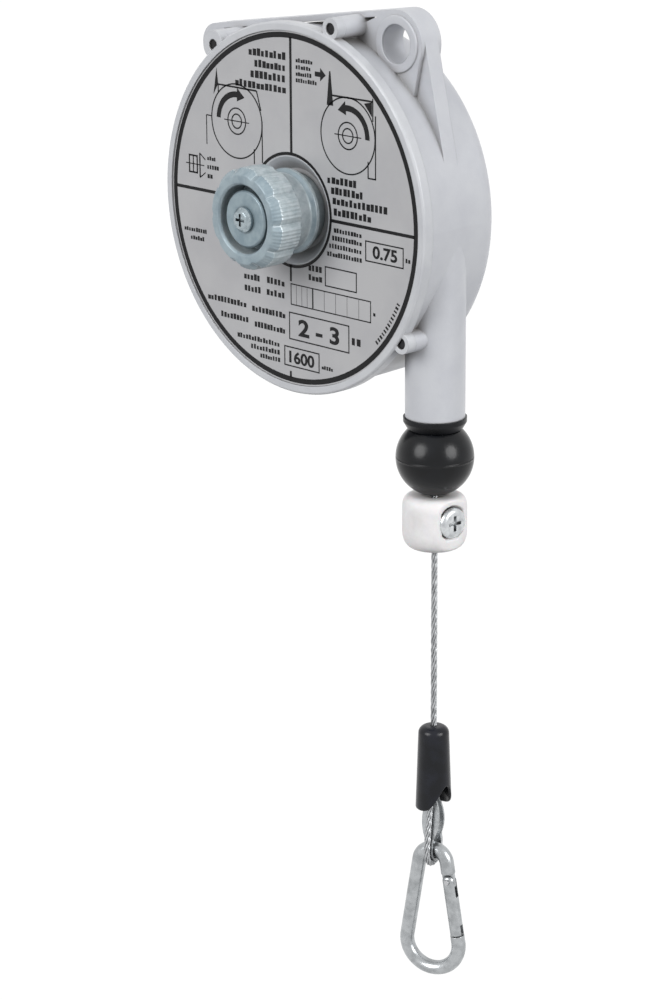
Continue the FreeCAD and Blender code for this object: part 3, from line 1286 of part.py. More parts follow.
hook_solid = hook_wire_solid.fuse([upper_tongue, lower_tongue]).removeSplitter()
hook_solid = hook_solid.cut(cross_pin(number(S.rivet_radius + S.screw_gap), gate_wide))
gate_solid = Part.makeCylinder(number(S.gate_radius), number(S.gate_end - S.rivet_place),
                               rivet_point, down)
gate_solid = gate_solid.fuse(Part.makeSphere(number(S.gate_radius), rivet_point))
half_slot = half_tongue + number(S.slot_gap)
gate_solid = gate_solid.cut([
    tongue(wire_stop, number(S.rivet_place + S.slot_past), half_slot, gate_wide),
    tongue(number(S.gate_end - S.nose_reach - S.slot_end_gap), number(S.gate_end + S.gate_radius),
           half_slot, gate_wide),
    cross_pin(number(S.rivet_radius + S.screw_gap), gate_wide),
])
rivet_solid = cross_pin(number(S.rivet_radius), number(S.gate_radius + S.rivet_proud))
leaf_solid = tongue(number(S.rivet_place + S.leaf_start), number(S.rivet_place + S.leaf_end),
                    number(S.leaf_half), number(S.leaf_thick / 2))
for label, solid in (("hook_body", hook_solid), ("hook_gate", gate_solid),
                     ("gate_rivet", rivet_solid), ("gate_spring", leaf_solid)):
    feature = doc.addObject("Part::Feature", label)
    feature.Shape = solid
    feature.Label = label
    feature.Placement = Placement(
        Vector(number(outlet_x), 0, number(drum_z)),
        Rotation(Vector(0, 0, 1), number(S.hook_turn)))
    nodes[label] = feature

# ---------------------------------------------------------------- checks and files
doc.recompute()
for item in doc.Objects:
    if {"Invalid", "Error"} & set(item.State):
        raise RuntimeError(f"{item.Label} failed: {item.State}")
for label, item in nodes.items():
    if item.Shape.isNull() or not item.Shape.isValid() or not item.Shape.Solids:
        raise RuntimeError(f"{label} has no valid solid")
os.makedirs("parts", exist_ok=True)
for label, item in nodes.items():
    item.Shape.exportStep(f"parts/{label}.step")
    box = item.Shape.BoundBox
    print(f"{label}: {len(item.Shape.Solids)} solid, {item.Shape.Volume / 1000:.2f} cm3,"
          f" z {box.ZMin:.1f} to {box.ZMax:.1f}")
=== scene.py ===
import math

import bmesh
import bpy
import mathutils
import numpy as np
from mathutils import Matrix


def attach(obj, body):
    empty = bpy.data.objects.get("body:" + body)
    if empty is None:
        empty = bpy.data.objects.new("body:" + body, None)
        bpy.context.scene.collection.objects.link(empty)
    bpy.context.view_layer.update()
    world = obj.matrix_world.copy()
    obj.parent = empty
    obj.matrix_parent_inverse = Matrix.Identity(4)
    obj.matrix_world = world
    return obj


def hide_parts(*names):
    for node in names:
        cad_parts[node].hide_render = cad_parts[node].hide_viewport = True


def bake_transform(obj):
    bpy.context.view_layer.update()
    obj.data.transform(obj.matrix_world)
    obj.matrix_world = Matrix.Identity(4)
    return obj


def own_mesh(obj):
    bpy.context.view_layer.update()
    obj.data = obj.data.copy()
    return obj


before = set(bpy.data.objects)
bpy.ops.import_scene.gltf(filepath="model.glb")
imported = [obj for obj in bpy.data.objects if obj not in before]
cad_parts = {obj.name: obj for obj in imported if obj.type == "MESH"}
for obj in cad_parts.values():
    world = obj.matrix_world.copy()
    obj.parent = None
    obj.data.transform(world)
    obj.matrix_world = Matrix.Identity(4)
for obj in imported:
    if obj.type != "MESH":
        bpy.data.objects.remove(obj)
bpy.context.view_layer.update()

# ---------------------------------------------------------------- camera
# A long lens from the front right, a little above the housing, leaning very slightly.
LENS, SENSOR = 108, 36                                           # millimetres
CAMERA_PLACE = (0.6782, -0.6884, 0.1420)                         # metres
CAMERA_DIP, CAMERA_SWING, CAMERA_LEAN = 17.024, 46.04, -0.35     # degrees
scene = bpy.context.scene
scene.view_settings.view_transform = "Standard"
camera = bpy.data.objects.new("camera", bpy.data.cameras.new("camera"))
scene.collection.objects.link(camera)
camera.data.lens = LENS
camera.data.sensor_width = SENSOR
camera.location = CAMERA_PLACE
aim = mathutils.Euler((math.radians(90 - CAMERA_DIP), 0, math.radians(CAMERA_SWING))).to_matrix()
lean = mathutils.Matrix.Rotation(math.radians(CAMERA_LEAN), 3, "Z")
camera.rotation_euler = (aim @ lean).to_euler()
scene.camera = camera

# ---------------------------------------------------------------- wire rope below the clamp
# Galvanised steel rope of 2.2 mm, six strands laid round a core. It hangs straight from the stop
# clamp down to the crimp in its sleeve.
MM = 0.001
DRUM_X, DRUM_Z = -36.694, -57.487          # the drum axis, in millimetres
ROPE_X = 13.206                            # the rope's line
ROPE_RADIUS, STRANDS = 1.1, 6
ROPE_LAY = 18.0                            # one turn of a strand, about eight rope diameters
CLAMP_FOOT, CRIMP_TOP = 109.9, 178.0       # below the drum axis
LIGHT_SOCKET, DARK_SOCKET, MIXED = 6, 7, 2    # the Mix node's two colours and what they give


def srgb(code):
    """A colour written as sRGB hex, as the linear colour that the shader wants."""
    values = np.array([int(code[i:i + 2], 16) for i in (0, 2, 4)]) / 255
    linear = np.where(values <= 0.04045, values / 12.92, ((values + 0.055) / 1.055) ** 2.4)
    return (*linear.tolist(), 1.0)


def new_material(name):
    """A material with an empty node tree."""
    material = bpy.data.materials.new(name)
    material.use_nodes = True
    material.node_tree.nodes.clear()
    return material


def add_node(material, kind, links=None, values=None, **settings):
    """Adds one node, with its settings, the values of its sockets and what feeds them."""
    node = material.node_tree.nodes.new(kind)
    for name, setting in settings.items():
        setattr(node, name, setting)
    for socket, value in (values or {}).items():
        node.inputs[socket].default_value = value
    for socket, source in (links or {}).items():
        material.node_tree.links.new(source, node.inputs[socket])
    return node


def two_tone(material, light, dark, size_mm, low=0.4, high=0.65):
    """Cloudy mix of two colours; size_mm is how wide the clouds are. Returns colour and cloud."""
    place = add_node(material, "ShaderNodeTexCoord")
    cloud = add_node(material, "ShaderNodeTexNoise", {"Vector": place.outputs["Object"]},
                     {"Scale": 1 / (size_mm * MM), "Detail": 4.0, "Roughness": 0.6})
    spread = add_node(material, "ShaderNodeMapRange", {"Value": cloud.outputs["Fac"]},
                      {"From Min": low, "From Max": high})
    mix = add_node(material, "ShaderNodeMix", {"Factor": spread.outputs["Result"]},
                   {LIGHT_SOCKET: srgb(light), DARK_SOCKET: srgb(dark)}, data_type="RGBA")
    return mix.outputs[MIXED], cloud.outputs["Fac"]


def painted_corner_shade(material, colour, painted_shade, reach_mm, share):
    """Painted shade: a colour darkened by a share towards shade where faces within reach_mm face
    each other.
    """
    nook = add_node(material, "ShaderNodeAmbientOcclusion", values={"Distance": reach_mm * MM},
                    samples=8)
    depth = add_node(material, "ShaderNodeMapRange", {"Value": nook.outputs["AO"]},
                     {"From Min": 0.25, "From Max": 0.85, "To Min": share, "To Max": 0.0})
    mix = add_node(material, "ShaderNodeMix",
                   {"Factor": depth.outputs["Result"], LIGHT_SOCKET: colour},
                   {DARK_SOCKET: srgb(painted_shade)}, data_type="RGBA")
    return mix.outputs[MIXED]


def bumps(material, size_mm, height_mm, edge_mm=0.0):
    """Fine relief: size_mm is the width of its grains; edges look rounded by edge_mm."""
    place = add_node(material, "ShaderNodeTexCoord")
    grain = add_node(material, "ShaderNodeTexNoise", {"Vector": place.outputs["Object"]},
                     {"Scale": 1 / (size_mm * MM), "Detail": 3.0})
    links = {"Height": grain.outputs["Fac"]}
    if edge_mm:
        edge = add_node(material, "ShaderNodeBevel", values={"Radius": edge_mm * MM}, samples=6)
        links["Normal"] = edge.outputs["Normal"]
    relief = add_node(material, "ShaderNodeBump", links,
                      {"Distance": height_mm * MM, "Strength": 1.0})
    return relief.outputs["Normal"]


def finish(material, colour, normal, cloud, gloss, **constants):
    """Closes a material with one shader, fed with colour, relief and a gloss that wanders.

    The roughness moves with the clouds between the two values of gloss. The rest is constant.
    """
    smooth, rough = gloss
    wander = add_node(material, "ShaderNodeMapRange", {"Value": cloud},
                      {"From Min": 0.3, "From Max": 0.7, "To Min": smooth, "To Max": rough})
    values = {name.replace("_", " "): value for name, value in constants.items()}
    shader = add_node(material, "ShaderNodeBsdfPrincipled",
                      {"Base Color": colour, "Normal": normal,
                       "Roughness": wander.outputs["Result"]}, values)
    add_node(material, "ShaderNodeOutputMaterial", {"Surface": shader.outputs["BSDF"]})


def surface(name, tones, relief, gloss, painted_shade=None, **constants):
    """A material from its measures, which are in millimetres.

    tones is (light, dark, width of clouds), painted_shade is the shade painted into corners as
    (colour, reach, share), relief is (width of a grain, height, rounding of edges) and gloss is the
    least and the most roughness.
    """
    material = new_material(name)
    colour, cloud = two_tone(material, *tones)
    # Shade in corners is painted into the colour where the space around is closed.
    if painted_shade:
        colour = painted_corner_shade(material, colour, *painted_shade)
    finish(material, colour, bumps(material, *relief), cloud, gloss, **constants)
    return material


# Galvanised wire: dull zinc on the crowns of the strands, painted shade between them. The grain of
# the zinc, under 0.1 mm wide, is drawn at 0.25 mm.
rope_steel = surface("galvanised_wire_rope", ("b9bbbd", "8e9092", 1.5), (0.25, 0.02),
                     (0.32, 0.5), painted_shade=("1d1c1b", 0.6, 0.95), Metallic=0.85)


def skin(name, points, material, body, ring=False, crease=40):
    """Mesh over grids of points in millimetres.

    points has the shape (pieces, along, around, 3): in each piece, point (i, j) is joined to
    (i + 1, j) and (i, j + 1), and the last of j to the first. A ring joins the last of i to the
    first as well; otherwise a flat face closes each end.
    """
    points = np.asarray(points, float)
    if points.ndim == 3:
        points = points[None]
    pieces, along, rim = points.shape[:3]
    index = np.arange(pieces * along * rim).reshape(pieces, along, rim)
    index = np.concatenate([index, index[:, :, :1]], 2)
    if ring:
        index = np.concatenate([index, index[:, :1]], 1)
    faces = np.stack([index[:, :-1, :-1], index[:, 1:, :-1], index[:, 1:, 1:],
                      index[:, :-1, 1:]], -1).reshape(-1, 4).tolist()
    if not ring:
        faces += index[:, [0, -1], :rim].reshape(-1, rim).tolist()
    return close_mesh(name, points.reshape(-1, 3) * MM, faces, material, body, crease)


def close_mesh(name, points, faces, material, body, crease=40):
    """A finished piece in metres: doubles merged, faces outwards, smooth up to the crease angle."""
    mesh = bpy.data.meshes.new(name)
    mesh.from_pydata(points.tolist(), [], faces)
    work = bmesh.new()
    work.from_mesh(mesh)
    bmesh.ops.remove_doubles(work, verts=work.verts, dist=1e-7)
    bmesh.ops.recalc_face_normals(work, faces=work.faces)
    work.to_mesh(mesh)
    work.free()
    mesh.polygons.foreach_set("use_smooth", np.ones(len(mesh.polygons), bool))
    mesh.set_sharp_from_angle(angle=math.radians(crease))
    mesh.materials.append(material)
    piece = bpy.data.objects.new(name, mesh)
    scene.collection.objects.link(piece)
    if body:
        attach(piece, body)
    return piece


def laid_strands(path, flat, sides=8):
    """Strands of a rope along a path in millimetres.

    Each strand's middle turns round the path at two thirds of the rope's radius, once per lay of
    path length, and each strand is a round bar of one third of that radius. flat is a direction
    square to the whole path, which starts the turn.
    """
    path = np.asarray(path, float)
    step = np.gradient(path, axis=0)
    step /= np.linalg.norm(step, axis=1, keepdims=True)
    side = np.broadcast_to(np.asarray(flat, float), path.shape)
    up = np.cross(step, side)
    length = np.concatenate([[0], np.cumsum(np.linalg.norm(np.diff(path, axis=0), axis=1))])
    strand = np.arange(STRANDS)[:, None]
    turn = 2 * np.pi * (length / ROPE_LAY + strand / STRANDS)
    out = (np.cos(turn)[..., None] * side + np.sin(turn)[..., None] * up)
    across = (-np.sin(turn)[..., None] * side + np.cos(turn)[..., None] * up)
    middle = path + out * (ROPE_RADIUS * 2 / 3)
    around = np.linspace(0, 2 * np.pi, sides, endpoint=False)[:, None]
    ring = (np.cos(around) * out[:, :, None] + np.sin(around) * across[:, :, None])
    return middle[:, :, None] + ring * (ROPE_RADIUS / 3)


route = [(ROPE_X, 0, DRUM_Z - drop) for drop in (CLAMP_FOOT, 133.0, 156.0, CRIMP_TOP)]
line = bpy.data.curves.new("rope_line", "CURVE")
line.dimensions = "3D"
spline = line.splines.new("NURBS")
spline.points.add(len(route) - 1)
weighted = np.hstack([np.array(route) * MM, np.ones((len(route), 1))])
spline.points.foreach_set("co", weighted.ravel())
spline.order_u = 3
spline.use_endpoint_u = True
spline.resolution_u = 40
line_object = bpy.data.objects.new("rope_line", line)
scene.collection.objects.link(line_object)
bpy.context.view_layer.update()
line_mesh = bpy.data.meshes.new_from_object(line_object)
line_points = np.empty(len(line_mesh.vertices) * 3)
line_mesh.vertices.foreach_get("co", line_points)
line_points = line_points.reshape(-1, 3)
bpy.data.objects.remove(line_object)
bpy.data.meshes.remove(line_mesh)

hanging_rope = skin("hanging_rope", laid_strands(line_points / MM, (1, 0, 0)), rope_steel,
                    "cable_end")
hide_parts("cable")

# ---------------------------------------------------------------- rope that is pulled out
# The same rope between drum and stop. It is drawn here at its full travel and then gathered into
# its short length at rest, inside the outlet tube, so that it has the right lay when pulled out.
RUN_TOP, RUN_FOOT, TRAVEL = -72.6, -150.2, 1600.0
FINE_STEPS, ROWS = 4001, 1121              # of the table below, and of the rope: 1.5 mm apart
# A point at some share of the run comes down by the travel times the soft step of that share.
share = np.linspace(0, 1, FINE_STEPS)
drawn_out = RUN_TOP - share * (RUN_TOP - RUN_FOOT) - TRAVEL * share ** 2 * (3 - 2 * share)
heights = np.linspace(drawn_out[0], drawn_out[-1], ROWS)
gathered = RUN_TOP - np.interp(-heights, -drawn_out, share) * (RUN_TOP - RUN_FOOT)
full_path = np.column_stack([np.full(heights.size, ROPE_X), np.zeros(heights.size), heights])
strands = laid_strands(full_path, (1, 0, 0), sides=6)
strands[..., 2] = gathered[None, :, None]
pulled_rope = skin("pulled_rope", strands, rope_steel, None)
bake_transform(pulled_rope)
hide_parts("cable_run")

# ---------------------------------------------------------------- housing
# Die-cast aluminium cup with ear, bar and outlet tube, sprayed in silver-grey satin paint over the
# sand-blasted casting. That gives a soft sheen and a fine orange peel, which is about 0.3 mm wide
# and drawn at 1.1 mm so that it shows. Shade in its corners is painted into the colour.
casting_paint = surface("satin_silver_paint", ("c6c8cd", "bfc1c7", 14), (1.1, 0.035, 0.45),
                        (0.34, 0.46), painted_shade=("77726c", 7, 0.75), Metallic=0.15,
                        Coat_Weight=0.15, Coat_Roughness=0.3)


def dress(material, *names):
    """Puts a material on pieces of the CAD frame."""
    for name in names:
        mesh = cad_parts[name].data
        mesh.materials.clear()
        mesh.materials.append(material)


dress(casting_paint, "housing_body")


def soften(corners, steps=6):
    """Outline through corners (radius, place, softness, grip).

    Each corner is rounded by a parabola that starts and ends its softness before and after it;
    the grip is carried along the same way.
    """
    corners = np.asarray(corners, float)
    points = []
    share = np.linspace(0, 1, steps)[:, None]
    for index, corner in enumerate(corners):
        if index in (0, len(corners) - 1) or corner[2] == 0:
            points.append(corner[None])
            continue
        ends = []
        for other in (corners[index - 1], corners[index + 1]):
            way = other - corner
            reach = min(corner[2] / np.hypot(*way[:2]), 0.5)
            ends.append(corner + way * reach)
        points.append((1 - share) ** 2 * ends[0] + 2 * share * (1 - share) * corner
                      + share ** 2 * ends[1])
    return np.concatenate(points)[:, [0, 1, 3]]


def turned(radius, depth, turn, x=0.0, z=0.0):
    """Points turned about a line along Y at (x, z), in millimetres; depth counts to the front."""
    radius, depth, turn = np.broadcast_arrays(radius, depth, turn)
    return np.stack([x + radius * np.cos(turn), -depth, z + radius * np.sin(turn)], -1)


# The front of the ear has a low flat boss round its bore: a ring turned about the eye's axis.
EYE_BORE, BOSS_TOP, BOSS_FOOT = 6.4, 9.2, 9.4        # radii
EAR_FACE, BOSS_FACE = 4.3, 5.2
lip = soften([(EYE_BORE, EAR_FACE, 0, 0), (EYE_BORE, BOSS_FACE, 0.25, 0),
              (BOSS_TOP, BOSS_FACE, 0.3, 0), (BOSS_FOOT, EAR_FACE, 0, 0)])
turn = np.linspace(0, 2 * np.pi, 120, endpoint=False)
eye_lip = skin("eye_lip", turned(lip[:, :1], lip[:, 1:2], turn), casting_paint, "housing",
               ring=True)

# ---------------------------------------------------------------- lid
# Second casting in the same paint, held by three screws in its lugs. Its rim stands proud of the
# label and is rubbed a little brighter, because hands and benches touch it. The orange peel is drawn
# as coarse as on the cup.
# Shade in the lid's corners is painted into its colour, as on the cup.
lid_paint = surface("satin_silver_paint_lid", ("c9cbcf", "c1c3c8", 10), (1.1, 0.03, 0.5),
                    (0.3, 0.42), painted_shade=("77726c", 5, 0.7), Metallic=0.15, Coat_Weight=0.15,
                    Coat_Roughness=0.3)
dress(lid_paint, "front_cover")

# Cap screws sunk in the lugs. Black oxide on steel gives near-black with a faint metal shine; its
# turning marks are 0.1 mm apart and drawn at 0.4 mm.
black_oxide = surface("black_oxide_steel", ("2a2a2c", "1b1b1c", 1.0), (0.4, 0.01, 0.15),
                      (0.35, 0.5), Metallic=0.7)
dress(black_oxide, "cover_screws")

# ---------------------------------------------------------------- label
# Ring of self-adhesive silver foil in the lid's seat, screen-printed in black: a thick border, two
# turning signs, fields with plain ratings and rows of print, which are left as bare blocks.
LABEL_FACE = -17.5
INK_LIFT, INK_ROOT = 0.04, 0.05            # how far the ink stands out of the foil and into it
BLOCK_PITCH = 0.82                         # of a row's height
BLOCK_WIDTHS = (0.58, 0.86)                # the least and the most, of the pitch
BLOCK_HEIGHTS = (0.74, 0.9, 1.0)           # of a row's height
BORDER_RADIUS, COLLAR_RADIUS = 58.0, 18.95
# Metallised film: even grey with a weak, soft shine. Its embossing, 0.2 mm wide, is drawn at 0.9 mm.
silver_foil = surface("silver_foil", ("b8b8ba", "b1b1b4", 22), (0.9, 0.006), (0.3, 0.4),
                      Metallic=0.1)
dress(silver_foil, "label_plate")

# Screen ink: matt black that thins to dark grey in spots. The screen's mesh, 0.1 mm wide, is drawn
# at 0.5 mm.
print_ink = surface("black_screen_ink", ("101012", "2a2a2c", 0.8, 0.6, 0.85), (0.5, 0.004),
                    (0.45, 0.6), Specular_IOR_Level=0.2)


def on_label(across, up, lift):
    """Points of the label, in millimetres from the drum axis, set on its face."""
    across, up = np.broadcast_arrays(np.asarray(across, float), np.asarray(up, float))
    return np.stack([DRUM_X + across, np.full(across.shape, LABEL_FACE - lift), DRUM_Z + up], -1)


def printed(name, outlines):
    """Ink shapes as thin plates: each outline is an (n, 2) array, taken round once."""
    points, faces, start = [], [], 0
    for outline in outlines:
        outline = np.asarray(outline, float)
        count = len(outline)
        points += [on_label(outline[:, 0], outline[:, 1], INK_LIFT),
                   on_label(outline[:, 0], outline[:, 1], -INK_ROOT)]
        top = np.arange(start, start + count)
        faces.append(top.tolist())
        faces.append((top[::-1] + count).tolist())
        following = np.roll(top, -1)
        faces += np.stack([top, top + count, following + count, following], 1).tolist()
        start += 2 * count
    return close_mesh(name, np.concatenate(points) * MM, faces, print_ink, "housing", 20)


def bar(x0, y0, x1, y1, width):
    """Straight line of a given width from one point to another."""
    way = np.array([x1 - x0, y1 - y0], float)
    across = np.array([-way[1], way[0]]) / np.linalg.norm(way) * width / 2
    start, end = np.array([x0, y0]), np.array([x1, y1])
    return np.array([start - across, end - across, end + across, start + across])


def arc_band(centre, radius, width, first, last, steps=48):
    """Part of a ring between two angles in degrees, as one outline."""
    turn = np.radians(np.linspace(first, last, steps))
    ray = np.column_stack([np.cos(turn), np.sin(turn)])
    return np.concatenate([centre + ray * (radius + width / 2),
                           (centre + ray * (radius - width / 2))[::-1]])


def whole_ring(centre, radius, width, steps=120):
    """A closed ring, as two halves that meet."""
    return [arc_band(centre, radius, width, 0, 180, steps // 2),
            arc_band(centre, radius, width, 180, 360, steps // 2)]


def frame_box(x0, y0, x1, y1, width=0.45):
    """Empty field with a thin border."""
    return [bar(x0 - width / 2, y0, x1 + width / 2, y0, width),
            bar(x0 - width / 2, y1, x1 + width / 2, y1, width),
            bar(x0, y0, x0, y1, width), bar(x1, y0, x1, y1, width)]


def print_row(left, right, middle, height, rng):
    """A row of print left as a whole number of bare blocks of uneven width, one for each sign."""
    pitch = height * BLOCK_PITCH
    count = max(int(round((right - left) / pitch)), 1)
    pitch = (right - left) / count
    widths = pitch * rng.uniform(*BLOCK_WIDTHS, count)
    heights = height * rng.choice(BLOCK_HEIGHTS, count)
    starts = left + pitch * np.arange(count)
    return [np.array([[x, middle - height / 2], [x + w, middle - height / 2],
                      [x + w, middle - height / 2 + h], [x, middle - height / 2 + h]])
            for x, w, h in zip(starts, widths, heights)]


# A thick line round the label, a thinner one round the knob's collar and four spokes, of which the
# lower one is only its two ends.
border = (whole_ring((0, 0), BORDER_RADIUS, 1.8) + whole_ring((0, 0), COLLAR_RADIUS, 1.0, 80)
          + [bar(0.4, 19.2, 0.4, 57.4, 1.1), bar(-57.4, 0.8, -19.2, 0.8, 1.1),
             bar(19.2, -0.7, 57.4, -0.7, 1.1), bar(-0.4, -18.4, -0.4, -24.2, 0.9),
             bar(-0.9, -55.2, -0.9, -57.4, 0.9)])
printed("label_border", border)

# The turning signs: a drum with its hub and bore, a curved arrow and a line across. way is the way
# its arrow goes, and the arrow starts and ends at the two angles.
SIGN_DRUM, SIGN_HUB, SIGN_BORE, SIGN_HALF_LINE = 12.5, 4.4, 2.4, 6.2
ARROW_RADIUS, ARROW_WIDTH = 9.0, 2.0
TIP_RADIUS, TIP_TURN, HEAD_HALF = 9.2, 24, 2.3
turning_left, turning_right = np.array([-26.2, 26.6]), np.array([27.1, 28.2])
signs = []
for middle, way, start, end in ((turning_left, -1, 178, 88), (turning_right, 1, -2, 96)):
    signs += (whole_ring(middle, SIGN_DRUM, 0.5, 80) + whole_ring(middle, SIGN_HUB, 0.5, 40)
              + whole_ring(middle, SIGN_BORE, 0.5, 32))
    signs.append(arc_band(middle, ARROW_RADIUS, ARROW_WIDTH, start, end))
    foot_turn, tip_turn = math.radians(end), math.radians(end + way * TIP_TURN)
    out = np.array([math.cos(foot_turn), math.sin(foot_turn)])
    foot = middle + ARROW_RADIUS * out
    tip = middle + TIP_RADIUS * np.array([math.cos(tip_turn), math.sin(tip_turn)])
    signs.append(np.array([foot + HEAD_HALF * out, tip, foot - HEAD_HALF * out]))
    signs.append(bar(middle[0] - SIGN_HALF_LINE, middle[1], middle[0] + SIGN_HALF_LINE, middle[1],
                     0.35))
# Their ropes, frames and pointers, and a plain arrow to the right.
signs += [np.array([[-35.9, 43.6], [-35.2, 38.2], [-37.6, 34.6]]),
          bar(-35.2, 38.1, -16.2, 37.9, 0.6), bar(-35.2, 38.1, -35.2, 35.4, 0.5),
          bar(-16.2, 37.9, -14.2, 31.5, 0.5), bar(-17.7, 18.2, -17.7, 13.2, 0.5),
          bar(-13.7, 28.0, -13.7, 14.0, 0.5), bar(-41.4, 27.0, -39.0, 27.0, 0.4),
          bar(-41.4, 27.0, -41.4, 17.0, 0.4),
          np.array([[18.6, 48.3], [19.2, 48.3], [20.4, 37.2], [17.4, 37.2]]),
          bar(19.7, 40.6, 38.6, 40.6, 0.6), bar(38.6, 41.6, 38.6, 34.2, 0.5),
          np.array([[38.2, 40.4], [38.2, 35.6], [34.6, 39.6]]),
          bar(39.8, 36.1, 39.8, 15.6, 0.5), bar(36.4, 21.0, 36.4, 15.6, 0.5),
          bar(36.2, 15.6, 40.0, 15.6, 0.5),
          np.array([[11.9, 47.5], [14.4, 47.5], [14.4, 48.9], [17.0, 46.7], [14.4, 44.5],
                    [14.4, 45.9], [11.9, 45.9]])]
# The knob seen from the side.
signs += (frame_box(-50.6, 6.4, -46.6, 12.2, 0.6)
          + [bar(-52.4, 9.3, -43.0, 9.3, 0.35), bar(-45.2, 13.4, -45.2, 5.0, 0.6),
             bar(-45.2, 13.4, -42.4, 11.4, 0.4), bar(-45.2, 5.0, -42.4, 7.0, 0.4),
             bar(-48.6, 12.2, -48.6, 6.4, 0.5)])
printed("label_signs", signs)

# Rows of print, as (left, right, middle, height), then one row that follows the edge.
rng = np.random.default_rng(7)
rows = []
for left, right, middle, height in (
        (-19.8, -1.6, 50.9, 2.5), (-17.0, -1.6, 47.2, 2.5), (-19.0, -1.6, 43.5, 2.5),
        (-26.6, -1.6, 39.9, 2.5), (2.9, 11.0, 50.2, 1.4), (2.9, 10.2, 48.0, 1.4),
        (2.9, 10.4, 45.8, 1.4), (2.9, 13.0, 43.7, 1.4), (17.5, 31.5, 12.8, 2.4),
        (19.2, 34.5, 9.4, 2.4), (19.9, 45.4, 6.1, 2.4), (20.4, 38.0, 2.4, 2.4),
        (20.4, 33.6, -3.7, 1.6), (19.6, 33.6, -6.4, 1.6), (18.2, 33.6, -9.1, 1.6),
        (17.2, 33.6, -11.9, 1.6), (8.2, 14.9, -18.1, 2.0), (8.2, 14.9, -21.3, 2.0),
        (-23.6, -15.4, -25.7, 2.2), (-12.2, -3.2, -25.5, 2.2), (-23.4, -15.0, -29.8, 2.2),
        (-12.4, -3.0, -29.6, 2.2), (-42.2, -22.4, -35.9, 2.0), (-19.8, -3.0, -36.5, 2.0),
        (-35.6, -21.4, -41.0, 2.0), (-18.6, -3.0, -41.8, 2.0), (-27.4, -6.0, -47.0, 1.7),
        (-20.6, -6.0, -49.8, 1.7), (-16.0, -6.0, -52.4, 1.5), (-41.4, -36.8, 12.2, 1.4),
        (-41.4, -35.4, 9.2, 1.4), (-41.4, -38.6, 6.0, 1.4), (-53.8, -42.0, -13.6, 1.5),
        (-50.6, -43.4, -16.4, 1.5), (53.4, 55.8, -8.8, 1.6), (38.6, 40.0, -29.0, 1.2),
        (28.6, 33.2, -39.8, 2.4), (14.2, 19.8, -51.2, 1.3)):
    rows += print_row(left, right, middle, height, rng)
EDGE_ROW_FOOT, EDGE_ROW_TOP, EDGE_ROW_WIDTHS = 54.8, 56.2, (0.5, 0.9)
for turn in np.radians(np.arange(-43.5, -24.5, 1.5)):
    ray = np.array([math.cos(turn), math.sin(turn)])
    rows.append(bar(*(ray * EDGE_ROW_FOOT), *(ray * EDGE_ROW_TOP),
                    rng.uniform(*EDGE_ROW_WIDTHS)))
printed("label_rows", rows)

# Framed fields for the ratings, and one that is divided like a scale.
fields = (frame_box(35.2, -11.6, 52.3, -5.1) + frame_box(16.2, -23.0, 30.8, -16.6)
          + frame_box(-0.4, -32.0, 37.4, -25.0, 0.4) + frame_box(-1.3, -44.0, 27.2, -34.9)
          + frame_box(-3.8, -53.4, 12.9, -46.9)
          + [bar(10.1, -32.0, 10.1, -25.0, 0.6)]
          + [bar(x, -32.0, x, -25.0, 0.12) for x in (2.2, 4.8, 7.4, 15.6, 21.0, 26.4, 31.9)])
printed("label_fields", fields)


def printed_number(text, x0, x1, middle, height):
    """A plain number, set from the font's own outline to a height and squeezed between x0, x1.

    The font's thickness only tells its two sides apart; offset makes its strokes bolder.
    """
    letters = bpy.data.curves.new("number", "FONT")
    letters.body = text
    letters.extrude = 0.05
    letters.offset = 0.03
    holder = bpy.data.objects.new("number", letters)
    scene.collection.objects.link(holder)
    bpy.context.view_layer.update()
    mesh = bpy.data.meshes.new_from_object(holder)
    points = np.empty(len(mesh.vertices) * 3)
    mesh.vertices.foreach_get("co", points)
    points = points.reshape(-1, 3)
    low, high = points.min(0), points.max(0)
    placed = on_label(x0 + (points[:, 0] - low[0]) / (high[0] - low[0]) * (x1 - x0),
                      middle + ((points[:, 1] - low[1]) / (high[1] - low[1]) - 0.5) * height, 0)
    placed[:, 1] = LABEL_FACE - np.where(points[:, 2] > 0, INK_LIFT, -INK_ROOT)
    faces = [tuple(polygon.vertices) for polygon in mesh.polygons]
    bpy.data.objects.remove(holder)
    bpy.data.meshes.remove(mesh)
    return placed, faces


number_points, number_faces = [], []
for text, x0, x1, middle, height in (("0.75", 38.4, 49.6, -8.3, 4.3),
                                     ("2 - 3", 3.0, 22.6, -39.5, 6.0),
                                     ("1600", -1.6, 10.6, -50.2, 4.3)):
    placed, faces = printed_number(text, x0, x1, middle, height)
    offset = sum(len(points) for points in number_points)
    number_points.append(placed)
    number_faces += [tuple(i + offset for i in face) for face in faces]
close_mesh("label_numbers", np.concatenate(number_points) * MM, number_faces, print_ink,
           "housing", 20)

# ---------------------------------------------------------------- tension knob
# Zinc die-casting with a grey-blue chromate finish: ten shallow grips and fine ribs round the
# head, an open front, and a neck that widens where it meets the lid.
GRIPS, GRIP_DEPTH, GRIP_SHARPNESS = 10, 1.1, 7
RIBS, RIB_HALF_DEPTH = 80, 0.10
POLE = 0.01                                # radius of the flat face that closes the middle
# Chromated zinc: dull grey-blue with painted shade in the valleys. The cast skin's grain, 0.2 mm
# wide, is drawn at 0.8 mm.
chromate = surface("blue_chromate_zinc", ("9cabb2", "8797a0", 5), (0.8, 0.03), (0.4, 0.55),
                   painted_shade=("3a4245", 4, 0.7), Metallic=0.3)
